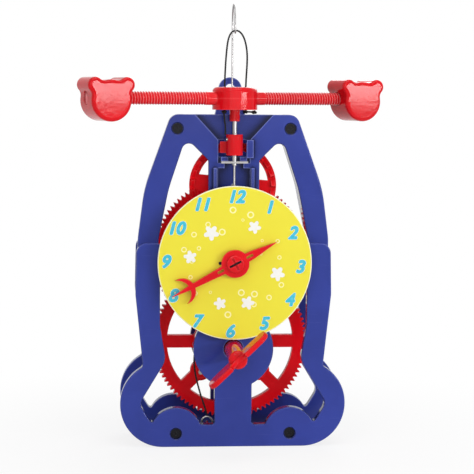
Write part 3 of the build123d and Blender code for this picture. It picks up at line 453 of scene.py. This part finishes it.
def cord_fibre(name, colour):
    """Black twisted cord: dull fibres with a faint sheen and stray pale lint."""
    finish = Finish(name)
    place = finish.place()
    fibre = finish.noise(
        finish.stretched(place, (9000.0, 9000.0, 2200.0)), scale=1.0, detail=3.0)
    lint = finish.between(finish.noise(place, scale=2600.0, detail=4.0), low=0.66, high=0.8)
    body = finish.mix(fibre, shade(colour, 0.6), shade(colour, 2.2))
    body = finish.mix(lint * 0.12, body, LINT)
    return finish.paint({
        "Base Color": body,
        "Roughness": 0.62 + fibre * 0.22,
        "Normal": finish.bump(fibre, strength=0.5, distance=0.00005),
        "Sheen Weight": 0.06,
        "Sheen Roughness": 0.4,
        "Specular IOR Level": 0.25,
    })


def dial_card(name, colour, pale, centre, radius):
    """Printed dial: even satin yellow with a fine print grain and a pale cut edge."""
    finish = Finish(name)
    place = finish.place()
    sideways = finish.node("ShaderNodeSeparateXYZ", None, {"Vector": place}, "X")
    height = Wire(finish, sideways.socket.node.outputs["Z"])
    across = sideways - centre[0]
    upward = height - centre[2]
    reach = (across * across + upward * upward) ** 0.5
    grain = finish.noise(place, scale=4200.0)
    cloud = finish.noise(place, scale=45.0, detail=3.0)
    rim = finish.between(reach, low=radius - 0.0008, high=radius - 0.0003)
    fade = finish.between(reach, low=0.004, high=radius)
    body = finish.mix(cloud, shade(colour, 0.965), shade(colour, 1.03))
    body = finish.mix(fade * 0.10, body, DIAL_FADE)
    body = finish.mix(grain * 0.05, body, pale)
    body = finish.mix(rim * 0.75, body, pale)
    return finish.paint({
        "Base Color": body,
        "Roughness": 0.36 + grain * 0.10 + cloud * 0.05,
        "Normal": finish.bump(grain, strength=0.06, distance=0.00005),
        "Coat Weight": 0.04,
        "Coat Roughness": 0.2,
        "Specular IOR Level": 0.25,
    })


def ink(name, colour, patchy):
    """Screen-printed ink with thin places and a little orange peel."""
    finish = Finish(name)
    place = finish.place()
    mesh = finish.noise(place, scale=6500.0)
    thin = finish.between(finish.noise(place, scale=700.0, detail=4.0), low=0.45, high=0.75)
    body = finish.mix(mesh * 0.35, shade(colour, 0.93), shade(colour, 1.08))
    body = finish.mix(thin * patchy, body, THIN_INK)
    return finish.paint({
        "Base Color": body,
        "Roughness": 0.32 + mesh * 0.12,
        "Normal": finish.bump(mesh, strength=0.08, distance=0.00004),
    })


def dress(names, material):
    """Gives CAD nodes a finish."""
    for name in names:
        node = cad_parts[name]
        node.data.materials.clear()
        node.data.materials.append(material)


def new_mesh(name, corners, faces, material, smooth=True):
    """A mesh object in the scene, with its finish."""
    mesh = bpy.data.meshes.new(name)
    mesh.from_pydata(corners, [], faces)
    mesh.validate()
    if smooth:
        mesh.shade_smooth()
    mesh.materials.append(material)
    made = bpy.data.objects.new(name, mesh)
    bpy.context.scene.collection.objects.link(made)
    return made


def smooth_line(route, steps=24):
    """Points read from the NURBS line that has the route as its control points."""
    curve = bpy.data.curves.new("route", "CURVE")
    curve.dimensions = "3D"
    line = curve.splines.new("NURBS")
    line.points.add(len(route) - 1)
    for point, place in zip(line.points, route):
        point.co = (*place, 1.0)
    line.order_u = 3
    line.use_endpoint_u = True
    line.resolution_u = steps
    holder = bpy.data.objects.new("route", curve)
    bpy.context.scene.collection.objects.link(holder)
    depsgraph = bpy.context.evaluated_depsgraph_get()
    mesh = bpy.data.meshes.new_from_object(holder.evaluated_get(depsgraph))
    points = [vertex.co.copy() for vertex in mesh.vertices]
    bpy.data.objects.remove(holder)
    bpy.data.curves.remove(curve)
    bpy.data.meshes.remove(mesh)
    return points


def line_length(points):
    return sum((b - a).length for a, b in zip(points, points[1:]))


def even_points(points, spacing):
    """The same line at an even spacing."""
    count = max(2, round(line_length(points) / spacing))
    step = line_length(points) / count
    found = [points[0].copy()]
    travelled = 0.0
    for a, b in zip(points, points[1:]):
        run = (b - a).length
        while len(found) < count and travelled + run >= step * len(found):
            found.append(a.lerp(b, (step * len(found) - travelled) / run))
        travelled += run
    found.append(points[-1].copy())
    return found


def carried_frames(points):
    """A direction across the line at each point, carried along without twist."""
    tangents = []
    for i in range(len(points)):
        ahead = points[min(i + 1, len(points) - 1)]
        behind = points[max(i - 1, 0)]
        tangents.append((ahead - behind).normalized())
    across = tangents[0].orthogonal().normalized()
    frames = []
    for tangent in tangents:
        across = (across - tangent * across.dot(tangent)).normalized()
        frames.append((across, tangent.cross(across)))
    return frames


def twisted_cord(points, diameter, twist, sides=7, strands=3):
    """Corners and faces of a cord of strands twisted round a line, with closed ends."""
    pressed_share = 1.16
    outer_share = 1.12
    rows_per_turn = 9
    strand_radius = diameter / 2 / (1 + 2 / math.sqrt(3)) * pressed_share
    lay_radius = diameter / 2 * outer_share - strand_radius
    points = even_points(points, twist / rows_per_turn)
    frames = carried_frames(points)
    spacing = line_length(points) / (len(points) - 1)
    corners = []
    faces = []
    for strand in range(strands):
        start = len(corners)
        for i, point in enumerate(points):
            across, other = frames[i]
            lay = 2 * math.pi * (i * spacing / twist + strand / strands)
            middle = point + (across * math.cos(lay) + other * math.sin(lay)) * lay_radius
            for side in range(sides):
                turn = 2 * math.pi * side / sides + lay
                corners.append(
                    middle + (across * math.cos(turn) + other * math.sin(turn)) * strand_radius)
        for i in range(len(points) - 1):
            for side in range(sides):
                low = start + i * sides
                next_side = (side + 1) % sides
                faces.append(
                    (low + side, low + next_side, low + sides + next_side, low + sides + side))
        faces.append(tuple(start + side for side in reversed(range(sides))))
        last = start + (len(points) - 1) * sides
        faces.append(tuple(last + side for side in range(sides)))
    return corners, faces


def turned_out(reach, depth, height, angle):
    """A point of the swinging bar's own plane, turned to its rest place."""
    return Matrix.Rotation(angle, 3, "Z") @ Vector((reach, depth, height))


def threaded_bar(name, start, collar_end, end, radius, pitch, depth, height, angle, material):
    """Round bar with a plain collar and a rolled thread, turned to its rest place."""
    around = 40
    rows_per_pitch = 10
    edge_step = 0.0004
    groove_power = 0.5
    run_out = 1.5
    plain = (start, start + edge_step, collar_end - 3 * edge_step, collar_end - edge_step)
    rows = [(reach, 0.0) for reach in plain]
    count = round((end - collar_end) / pitch * rows_per_pitch)
    for i in range(count + 1):
        reach = collar_end + (end - collar_end) * i / count
        fade = min(1.0, (reach - collar_end) / pitch, (end - reach) / pitch * run_out)
        rows.append((reach, max(0.0, fade)))
    corners = []
    faces = []
    for reach, fade in rows:
        for side in range(around):
            turn = 2 * math.pi * side / around
            phase = (reach / pitch - side / around) * 2 * math.pi
            groove = (0.5 + 0.5 * math.cos(phase)) ** groove_power
            across = radius - depth * groove * fade
            point = (reach, across * math.cos(turn), height + across * math.sin(turn))
            corners.append(turned_out(*point, angle))
    for row in range(len(rows) - 1):
        for side in range(around):
            next_side = (side + 1) % around
            low = row * around
            faces.append((low + side, low + next_side,
                          low + around + next_side, low + around + side))
    faces.append(tuple(reversed(range(around))))
    last = (len(rows) - 1) * around
    faces.append(tuple(last + side for side in range(around)))
    return new_mesh(name, corners, faces, material)


def overhand_knot(centre, size, tail, diameter, twist):
    """Corners and faces of a pulled-tight knot with its loose tail."""
    steps = 19
    first_turn = 0.35
    flatness = 0.6
    route = []
    for i in range(steps):
        turn = 2 * math.pi * (i / steps) - first_turn
        route.append(Vector((
            centre[0] + size * (math.sin(turn) + 2 * math.sin(2 * turn)) / 3,
            centre[1] + size * (math.cos(turn) - 2 * math.cos(2 * turn)) / 3,
            centre[2] - size * flatness * math.sin(3 * turn))))
    route.extend(Vector(point) for point in tail)
    return twisted_cord(smooth_line(route), diameter, twist, sides=6)


def round_pin(start, end, radius, sides=18):
    """Corners and faces of a straight pin with rounded ends."""
    along = (end - start).normalized()
    across = along.orthogonal().normalized()
    other = along.cross(across)
    ends = ((0.0, 0.45), (0.25 * radius, 0.80), (0.75 * radius, 1.0))
    rows = [(start + along * step, share * radius) for step, share in ends]
    rows += [(end - along * step, share * radius) for step, share in reversed(ends)]
    corners = []
    for middle, reach in rows:
        for side in range(sides):
            turn = 2 * math.pi * side / sides
            corners.append(middle + (across * math.cos(turn) + other * math.sin(turn)) * reach)
    faces = []
    for row in range(len(rows) - 1):
        for side in range(sides):
            low = row * sides
            next_side = (side + 1) % sides
            faces.append((low + side, low + next_side,
                          low + sides + next_side, low + sides + side))
    last = (len(rows) - 1) * sides
    faces.append(tuple(reversed(range(sides))))
    faces.append(tuple(last + side for side in range(sides)))
    return corners, faces


def join_forms(forms):
    """Several lists of corners and faces as one."""
    corners = []
    faces = []
    for more_corners, more_faces in forms:
        start = len(corners)
        corners.extend(more_corners)
        faces.extend(tuple(start + corner for corner in face) for face in more_faces)
    return corners, faces


def printed_number(text, size, place, weight):
    """Corners and faces of a bold sloping number on the dial's face, drawn in X and Z."""
    curve = bpy.data.curves.new("number", "FONT")
    curve.body = text
    curve.size = size
    curve.shear = NUMBER_SLOPE
    curve.align_x = "CENTER"
    curve.align_y = "CENTER"
    curve.resolution_u = 6
    holder = bpy.data.objects.new("number", curve)
    bpy.context.scene.collection.objects.link(holder)
    depsgraph = bpy.context.evaluated_depsgraph_get()
    mesh = bpy.data.meshes.new_from_object(holder.evaluated_get(depsgraph))
    faces = [tuple(face.vertices) for face in mesh.polygons]
    strokes = []
    for copy in range(STROKE_COPIES):
        turn = 2 * math.pi * copy / STROKE_COPIES
        x = place[0] + weight * size * math.cos(turn)
        y = place[1] - STROKE_STEP * copy
        z = place[2] + weight * size * math.sin(turn)
        strokes.append(([(x + v.co.x, y, z + v.co.y) for v in mesh.vertices], faces))
    bpy.data.objects.remove(holder)
    bpy.data.curves.remove(curve)
    bpy.data.meshes.remove(mesh)
    return join_forms(strokes)


def flat_ring(place, outer, inner, sides=40):
    """Corners and faces of a flat ring that faces the front."""
    corners = []
    faces = []
    for side in range(sides):
        turn = 2 * math.pi * side / sides
        for radius in (outer, inner):
            corners.append((
                place[0] + radius * math.cos(turn), place[1], place[2] + radius * math.sin(turn)))
    for side in range(sides):
        a = 2 * side
        b = 2 * ((side + 1) % sides)
        faces.append((a, b, b + 1, a + 1))
    return corners, faces


def flat_petals(place, radius, petals, bite, lean, sides=70):
    """Corners and faces of a flat flower that faces the front."""
    bite_power = 1.6
    corners = [tuple(place)]
    for side in range(sides):
        turn = 2 * math.pi * side / sides
        notch = (0.5 - 0.5 * math.cos(petals * (turn - lean))) ** bite_power
        reach = radius * (1 - bite * notch)
        corners.append((
            place[0] + reach * math.cos(turn), place[1], place[2] + reach * math.sin(turn)))
    faces = [(0, 1 + side, 1 + (side + 1) % sides) for side in range(sides)]
    return corners, faces


class CLOCK_OT_frame(bpy.types.Operator):
    """Gives the blue plates, pillars and brackets their finish"""

    bl_idname = "clock.frame"
    bl_label = "Blue frame"

    def execute(self, context):
        colours = context.scene.clock_colours
        dress(BLUE_PIECES, moulded(
            "blue_moulding", colours.blue, gloss=0.11, scratch_and_highlight=BLUE_SCRATCH_AND_HIGHLIGHT, painted_edge_highlight=0.50,
            painted_recess_shade=0.85))
        # The back plate takes the darker copy of the blue: painted shade
        dress(REAR_PIECES, moulded(
            "shaded_blue_moulding", colours.deep_blue, gloss=0.14, scratch_and_highlight=BLUE_SCRATCH_AND_HIGHLIGHT, painted_edge_highlight=0.40,
            painted_recess_shade=0.60))
        return {"FINISHED"}


class CLOCK_OT_works(bpy.types.Operator):
    """Gives the red wheels, weights, hub, key and hand their finish"""

    bl_idname = "clock.works"
    bl_label = "Red works"

    def execute(self, context):
        colours = context.scene.clock_colours
        dress(RED_PIECES, moulded(
            "red_moulding", colours.red, gloss=0.06, scratch_and_highlight=RED_SCRATCH_AND_HIGHLIGHT, painted_edge_highlight=0.22,
            painted_recess_shade=0.15))
        # The wheels take the lighter copy of the red: painted light
        dress(WHEEL_PIECES, moulded(
            "lit_wheel_moulding", colours.wheel_red, gloss=0.22, scratch_and_highlight=RED_SCRATCH_AND_HIGHLIGHT, painted_edge_highlight=0.22,
            painted_recess_shade=0.15, shine=0.03))
        return {"FINISHED"}


class CLOCK_OT_metal(bpy.types.Operator):
    """Gives the rods, wire, pins and screws their finish"""

    bl_idname = "clock.metal"
    bl_label = "Metal pieces"

    def execute(self, context):
        colours = context.scene.clock_colours
        dress(STEEL_PIECES, polished_steel("polished_steel", colours.steel))
        dress(SCREW_PIECES, blackened_steel("blackened_steel", colours.dark, colours.steel))
        return {"FINISHED"}


class CLOCK_OT_dial(bpy.types.Operator):
    """Finishes the dial and prints its numbers and small pictures"""

    bl_idname = "clock.dial"
    bl_label = "Dial and print"

    def execute(self, context):
        sizes = context.scene.clock_sizes
        colours = context.scene.clock_colours
        low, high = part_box("dial")
        centre = (low + high) / 2
        radius = (high.x - low.x) / 2
        pale = (*colours.pale, 1.0)
        dress(DIAL_PIECES, dial_card("dial_card", colours.yellow, pale, centre, radius))
        layer = sizes.print_thickness
        halo = []
        numbers = []
        for hour in range(1, 13):
            turn = math.radians(90 - 30 * hour - NUMBER_TURN)
            x = centre.x + NUMBER_SHIFT_X + sizes.numeral_ring * math.cos(turn)
            z = centre.z + NUMBER_SHIFT_Z + sizes.numeral_ring * math.sin(turn)
            halo.append(printed_number(
                str(hour), sizes.numeral_size, (x, low.y - 2 * layer, z), HALO_WEIGHT))
            numbers.append(printed_number(
                str(hour), sizes.numeral_size, (x, low.y - 3 * layer, z), NUMBER_WEIGHT))
        flowers = []
        for reach, degrees, size in FLOWERS:
            turn = math.radians(degrees)
            place = (centre.x + reach * math.cos(turn), low.y - 2 * layer,
                     centre.z + reach * math.sin(turn))
            flowers.append(flat_petals(place, size, FLOWER_PETALS, FLOWER_BITE, turn))
        rings = []
        for i in range(RING_COUNT):
            turn = math.radians(i * RING_NEXT_TURN + RING_FIRST_TURN)
            share = ((i * 7) % RING_COUNT + 1) / RING_COUNT
            reach = RING_NEAREST + RING_SPREAD * math.sqrt(share)
            size = RING_RADIUS + RING_STEP * (i % 4)
            place = (centre.x + reach * math.cos(turn), low.y - layer,
                     centre.z + reach * math.sin(turn))
            rings.append(flat_ring(place, size, size * RING_HOLE, 28))
        prints = (
            ("number_halo", halo, ink("halo_ink", colours.pale, patchy=0.0)),
            ("hour_numbers", numbers, ink("number_ink", colours.cyan, patchy=0.10)),
            ("dial_flowers", flowers, ink("flower_ink", FLOWER_WHITE, patchy=0.10)),
            ("dial_rings", rings, ink("ring_ink", RING_CREAM, patchy=0.20)),
        )
        for name, forms, material in prints:
            printed = new_mesh(name, *join_forms(forms), material, smooth=False)
            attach(printed, "frame")
        return {"FINISHED"}


class CLOCK_OT_hand_pin(bpy.types.Operator):
    """Lays the dark pin in the slot of the hand's cap; the dark pin also stands in for the shade in
    the slot
    """

    bl_idname = "clock.hand_pin"
    bl_label = "Pin and slot shade"

    def execute(self, context):
        sizes = context.scene.clock_sizes
        low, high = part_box("hand_cap")
        centre = (low + high) / 2
        reach = Vector((math.cos(sizes.hand_angle), 0.0, math.sin(sizes.hand_angle)))
        reach *= sizes.pin_length / 2
        middle = Vector((centre.x, low.y + sizes.pin_diameter / 2, centre.z))
        form = round_pin(middle - reach, middle + reach, sizes.pin_diameter / 2)
        # A dark pin in the slot, partly standing in for the slot's shade
        pin = new_mesh("hand_pin", *form, bpy.data.materials["blackened_steel"])
        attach(pin, "hour")
        return {"FINISHED"}


class CLOCK_OT_bars(bpy.types.Operator):
    """Makes the two threaded bars that carry the weights"""

    bl_idname = "clock.bars"
    bl_label = "Threaded bars"

    def execute(self, context):
        sizes = context.scene.clock_sizes
        # Painted highlights along the thread's crests, and painted shade in its hollows
        red = moulded(
            "rolled_thread", context.scene.clock_colours.red, gloss=0.06, scratch_and_highlight=THREAD_SCRATCH_AND_HIGHLIGHT,
            painted_edge_highlight=0.75, painted_recess_shade=0.30, ridged=True)
        low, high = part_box("right_arm")
        height = (low.z + high.z) / 2
        radius = (high.z - low.z) / 2
        for side, turn in (("left", math.pi), ("right", 0.0)):
            bar = threaded_bar(
                side + "_threaded_bar", BAR_START, BAR_COLLAR_END, BAR_END, radius,
                sizes.thread_pitch, sizes.thread_depth, height, sizes.rest_angle + turn, red)
            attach(bar, "foliot")
            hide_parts(side + "_arm")
        return {"FINISHED"}


class CLOCK_OT_loop(bpy.types.Operator):
    """Makes the cord loop that hangs the swinging bar from the wire, with its knots"""

    bl_idname = "clock.loop"
    bl_label = "Suspension loop"

    def execute(self, context):
        sizes = context.scene.clock_sizes
        black = cord_fibre("cord_fibre", context.scene.clock_colours.cord)
        route = [turned_out(reach, 0.0, height, sizes.rest_angle) for reach, height in LOOP_ROUTE]
        line = smooth_line(route)
        form = twisted_cord(line, sizes.cord_diameter, sizes.cord_twist)
        loop = new_mesh("suspension_loop", *form, black)
        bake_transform(loop)
        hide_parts("suspension_cord")
        forms = []
        for reach, tail in ((-KNOT_REACH, LEFT_TAIL), (KNOT_REACH, RIGHT_TAIL)):
            foot = turned_out(reach, 0.0, KNOT_HEIGHT, sizes.rest_angle)
            ends = [foot + Vector(step) for step in tail]
            forms.append(overhand_knot(
                foot, KNOT_SIZE, ends, sizes.cord_diameter, sizes.cord_twist))
        loose_end = foot + Vector(LOOSE_KNOT)
        forms.append(overhand_knot(
            loose_end, LOOSE_KNOT_SIZE, [loose_end + Vector(LOOSE_KNOT_TAIL)],
            sizes.cord_diameter, sizes.cord_twist))
        knots = new_mesh("loop_knots", *join_forms(forms), black)
        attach(knots, "foliot")
        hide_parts("cord_knots")
        line_length(line)
        return {"FINISHED"}


class CLOCK_OT_drive(bpy.types.Operator):
    """Winds the drive cord on its drum and leads it down to its ring"""

    bl_idname = "clock.drive"
    bl_label = "Drive cord"

    def execute(self, context):
        sizes = context.scene.clock_sizes
        black = bpy.data.materials["cord_fibre"]
        line = smooth_line(DRIVE_ROUTE)
        form = twisted_cord(line, sizes.cord_diameter, sizes.cord_twist)
        drop = new_mesh("drive_line", *form, black)
        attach(drop, "frame")
        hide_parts("drive_cord")
        line_length(line)
        low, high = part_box("cord_drum")
        middle = (low.z + high.z) / 2
        per_turn = 24
        radius = WOUND_RADIUS / (0.5 + 0.5 * math.cos(2 * math.pi / per_turn)) ** 0.5
        coil = []
        for i in range(WOUND_TURNS * per_turn + 1):
            left = WOUND_TURNS - i / per_turn
            turn = math.pi - 2 * math.pi * left
            coil.append(Vector((
                radius * math.cos(turn), WOUND_FRONT + WOUND_PITCH * left,
                middle + radius * math.sin(turn))))
        wound_line = smooth_line(coil, 6)
        wound = new_mesh(
            "drum_turns", *twisted_cord(wound_line, sizes.cord_diameter, sizes.cord_twist), black)
        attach(wound, "winding")
        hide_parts("drum_winding")
        return {"FINISHED"}


def seen_by_camera(finish):
    """1 where the camera looks, straight or by way of metal and glass, and 0 for other light."""
    rays = finish.node("ShaderNodeLightPath", output="Is Camera Ray")
    ray = rays.socket.node.outputs
    mirrored = finish.math("MAXIMUM", Wire(finish, ray["Is Glossy Ray"]),
                           Wire(finish, ray["Is Transmission Ray"]))
    return finish.math("MAXIMUM", rays, mirrored)


class Sky(Finish):
    """The world's own node tree."""

    def __init__(self, world):
        self.material = world
        self.material.use_nodes = True
        self.tree = world.node_tree
        self.shader = self.tree.nodes["Background"]


def softbox(name, place, target, width, height, power):
    """A soft rectangular lamp that faces a point."""
    lamp = bpy.data.lights.new(name, "AREA")
    lamp.shape = "RECTANGLE"
    lamp.size = width
    lamp.size_y = height
    lamp.energy = power
    made = bpy.data.objects.new(name, lamp)
    made.location = place
    made.rotation_euler = (Vector(target) - Vector(place)).to_track_quat("-Z", "Y").to_euler()
    bpy.context.scene.collection.objects.link(made)


class CLOCK_OT_stage(bpy.types.Operator):
    """Sets up the floor, the lamps and the camera"""

    bl_idname = "clock.stage"
    bl_label = "Stage"

    def execute(self, context):
        scene = context.scene
        stage = scene.clock_stage
        scene.view_settings.view_transform = "Standard"
        if scene.world is None:
            scene.world = bpy.data.worlds.new("studio")
        sky = Sky(scene.world)
        seen = seen_by_camera(sky)
        sky.paint({"Color": WHITE, "Strength": 0.36 + seen * 0.64})
        floor_finish = Finish("pale_floor")
        place = floor_finish.place()
        grain = floor_finish.noise(place, scale=300.0, detail=3.0)
        reach = floor_finish.node(
            "ShaderNodeVectorMath", {"operation": "LENGTH"}, {0: place}, "Value")
        clear = 0.80 + floor_finish.between(reach, low=0.09, high=0.30) * 0.20
        floor_finish.paint({
            "Base Color": floor_finish.mix(grain, (0.80, 0.80, 0.80, 1.0), (0.86, 0.86, 0.86, 1.0)),
            "Roughness": 0.9,
        })
        white = floor_finish.node(
            "ShaderNodeEmission", None, {"Color": WHITE, "Strength": 1.0})
        mixed = floor_finish.node(
            "ShaderNodeMixShader", None,
            {0: seen_by_camera(floor_finish) * clear,
             1: Wire(floor_finish, floor_finish.shader.outputs[0]), 2: white})
        output = floor_finish.tree.nodes["Material Output"]
        floor_finish.feed(output.inputs["Surface"], mixed)
        far = FLOOR_HALF_WIDTH
        floor = new_mesh(
            "floor", [(-far, -far, 0), (far, -far, 0), (far, far, 0), (-far, far, 0)],
            [(0, 1, 2, 3)], floor_finish.material, smooth=False)
        for name, spot, target, width, height, share in SOFTBOXES:
            softbox(name, spot, target, width, height, stage.lamp_power * share)
        lens = bpy.data.cameras.new("photo_camera")
        lens.sensor_width = 36.0
        lens.lens = stage.lens
        lens.clip_start = 0.05
        lens.clip_end = 30.0
        camera = bpy.data.objects.new("photo_camera", lens)
        camera.location = stage.camera_place
        turn = Euler(stage.camera_turn, "XYZ").to_matrix()
        camera.rotation_euler = (turn @ Matrix.Rotation(stage.camera_roll, 3, "Z")).to_euler()
        scene.collection.objects.link(camera)
        scene.camera = camera
        return {"FINISHED"}


class CLOCK_PT_panel(bpy.types.Panel):
    """Sidebar list of the clock's pieces, sizes and colours"""

    bl_label = "Toy Verge Clock"
    bl_idname = "CLOCK_PT_panel"
    bl_space_type = "VIEW_3D"
    bl_region_type = "UI"
    bl_category = "Clock"

    def draw(self, context):
        layout = self.layout
        for maker in MAKERS:
            layout.operator(maker.bl_idname)
        for group in ("clock_sizes", "clock_colours", "clock_stage"):
            settings = getattr(context.scene, group)
            column = layout.box().column()
            for name in settings.__annotations__:
                column.prop(settings, name)


MAKERS = (
    CLOCK_OT_stage, CLOCK_OT_loop, CLOCK_OT_drive, CLOCK_OT_frame, CLOCK_OT_works,
    CLOCK_OT_metal, CLOCK_OT_hand_pin, CLOCK_OT_bars, CLOCK_OT_dial,
)
GROUPS = (ClockSizes, ClockColours, ClockStage)


def register():
    for group in GROUPS + MAKERS + (CLOCK_PT_panel,):
        bpy.utils.register_class(group)
    bpy.types.Scene.clock_sizes = PointerProperty(type=ClockSizes)
    bpy.types.Scene.clock_colours = PointerProperty(type=ClockColours)
    bpy.types.Scene.clock_stage = PointerProperty(type=ClockStage)


def unregister():
    del bpy.types.Scene.clock_stage
    del bpy.types.Scene.clock_colours
    del bpy.types.Scene.clock_sizes
    for group in reversed(GROUPS + MAKERS + (CLOCK_PT_panel,)):
        bpy.utils.unregister_class(group)


def main():
    register()
    bpy.ops.clock.stage()
    bpy.ops.clock.loop()
    bpy.ops.clock.drive()
    bpy.ops.clock.frame()
    bpy.ops.clock.works()
    bpy.ops.clock.metal()
    bpy.ops.clock.hand_pin()
    bpy.ops.clock.bars()
    bpy.ops.clock.dial()


if __name__ == "__main__":
    main()
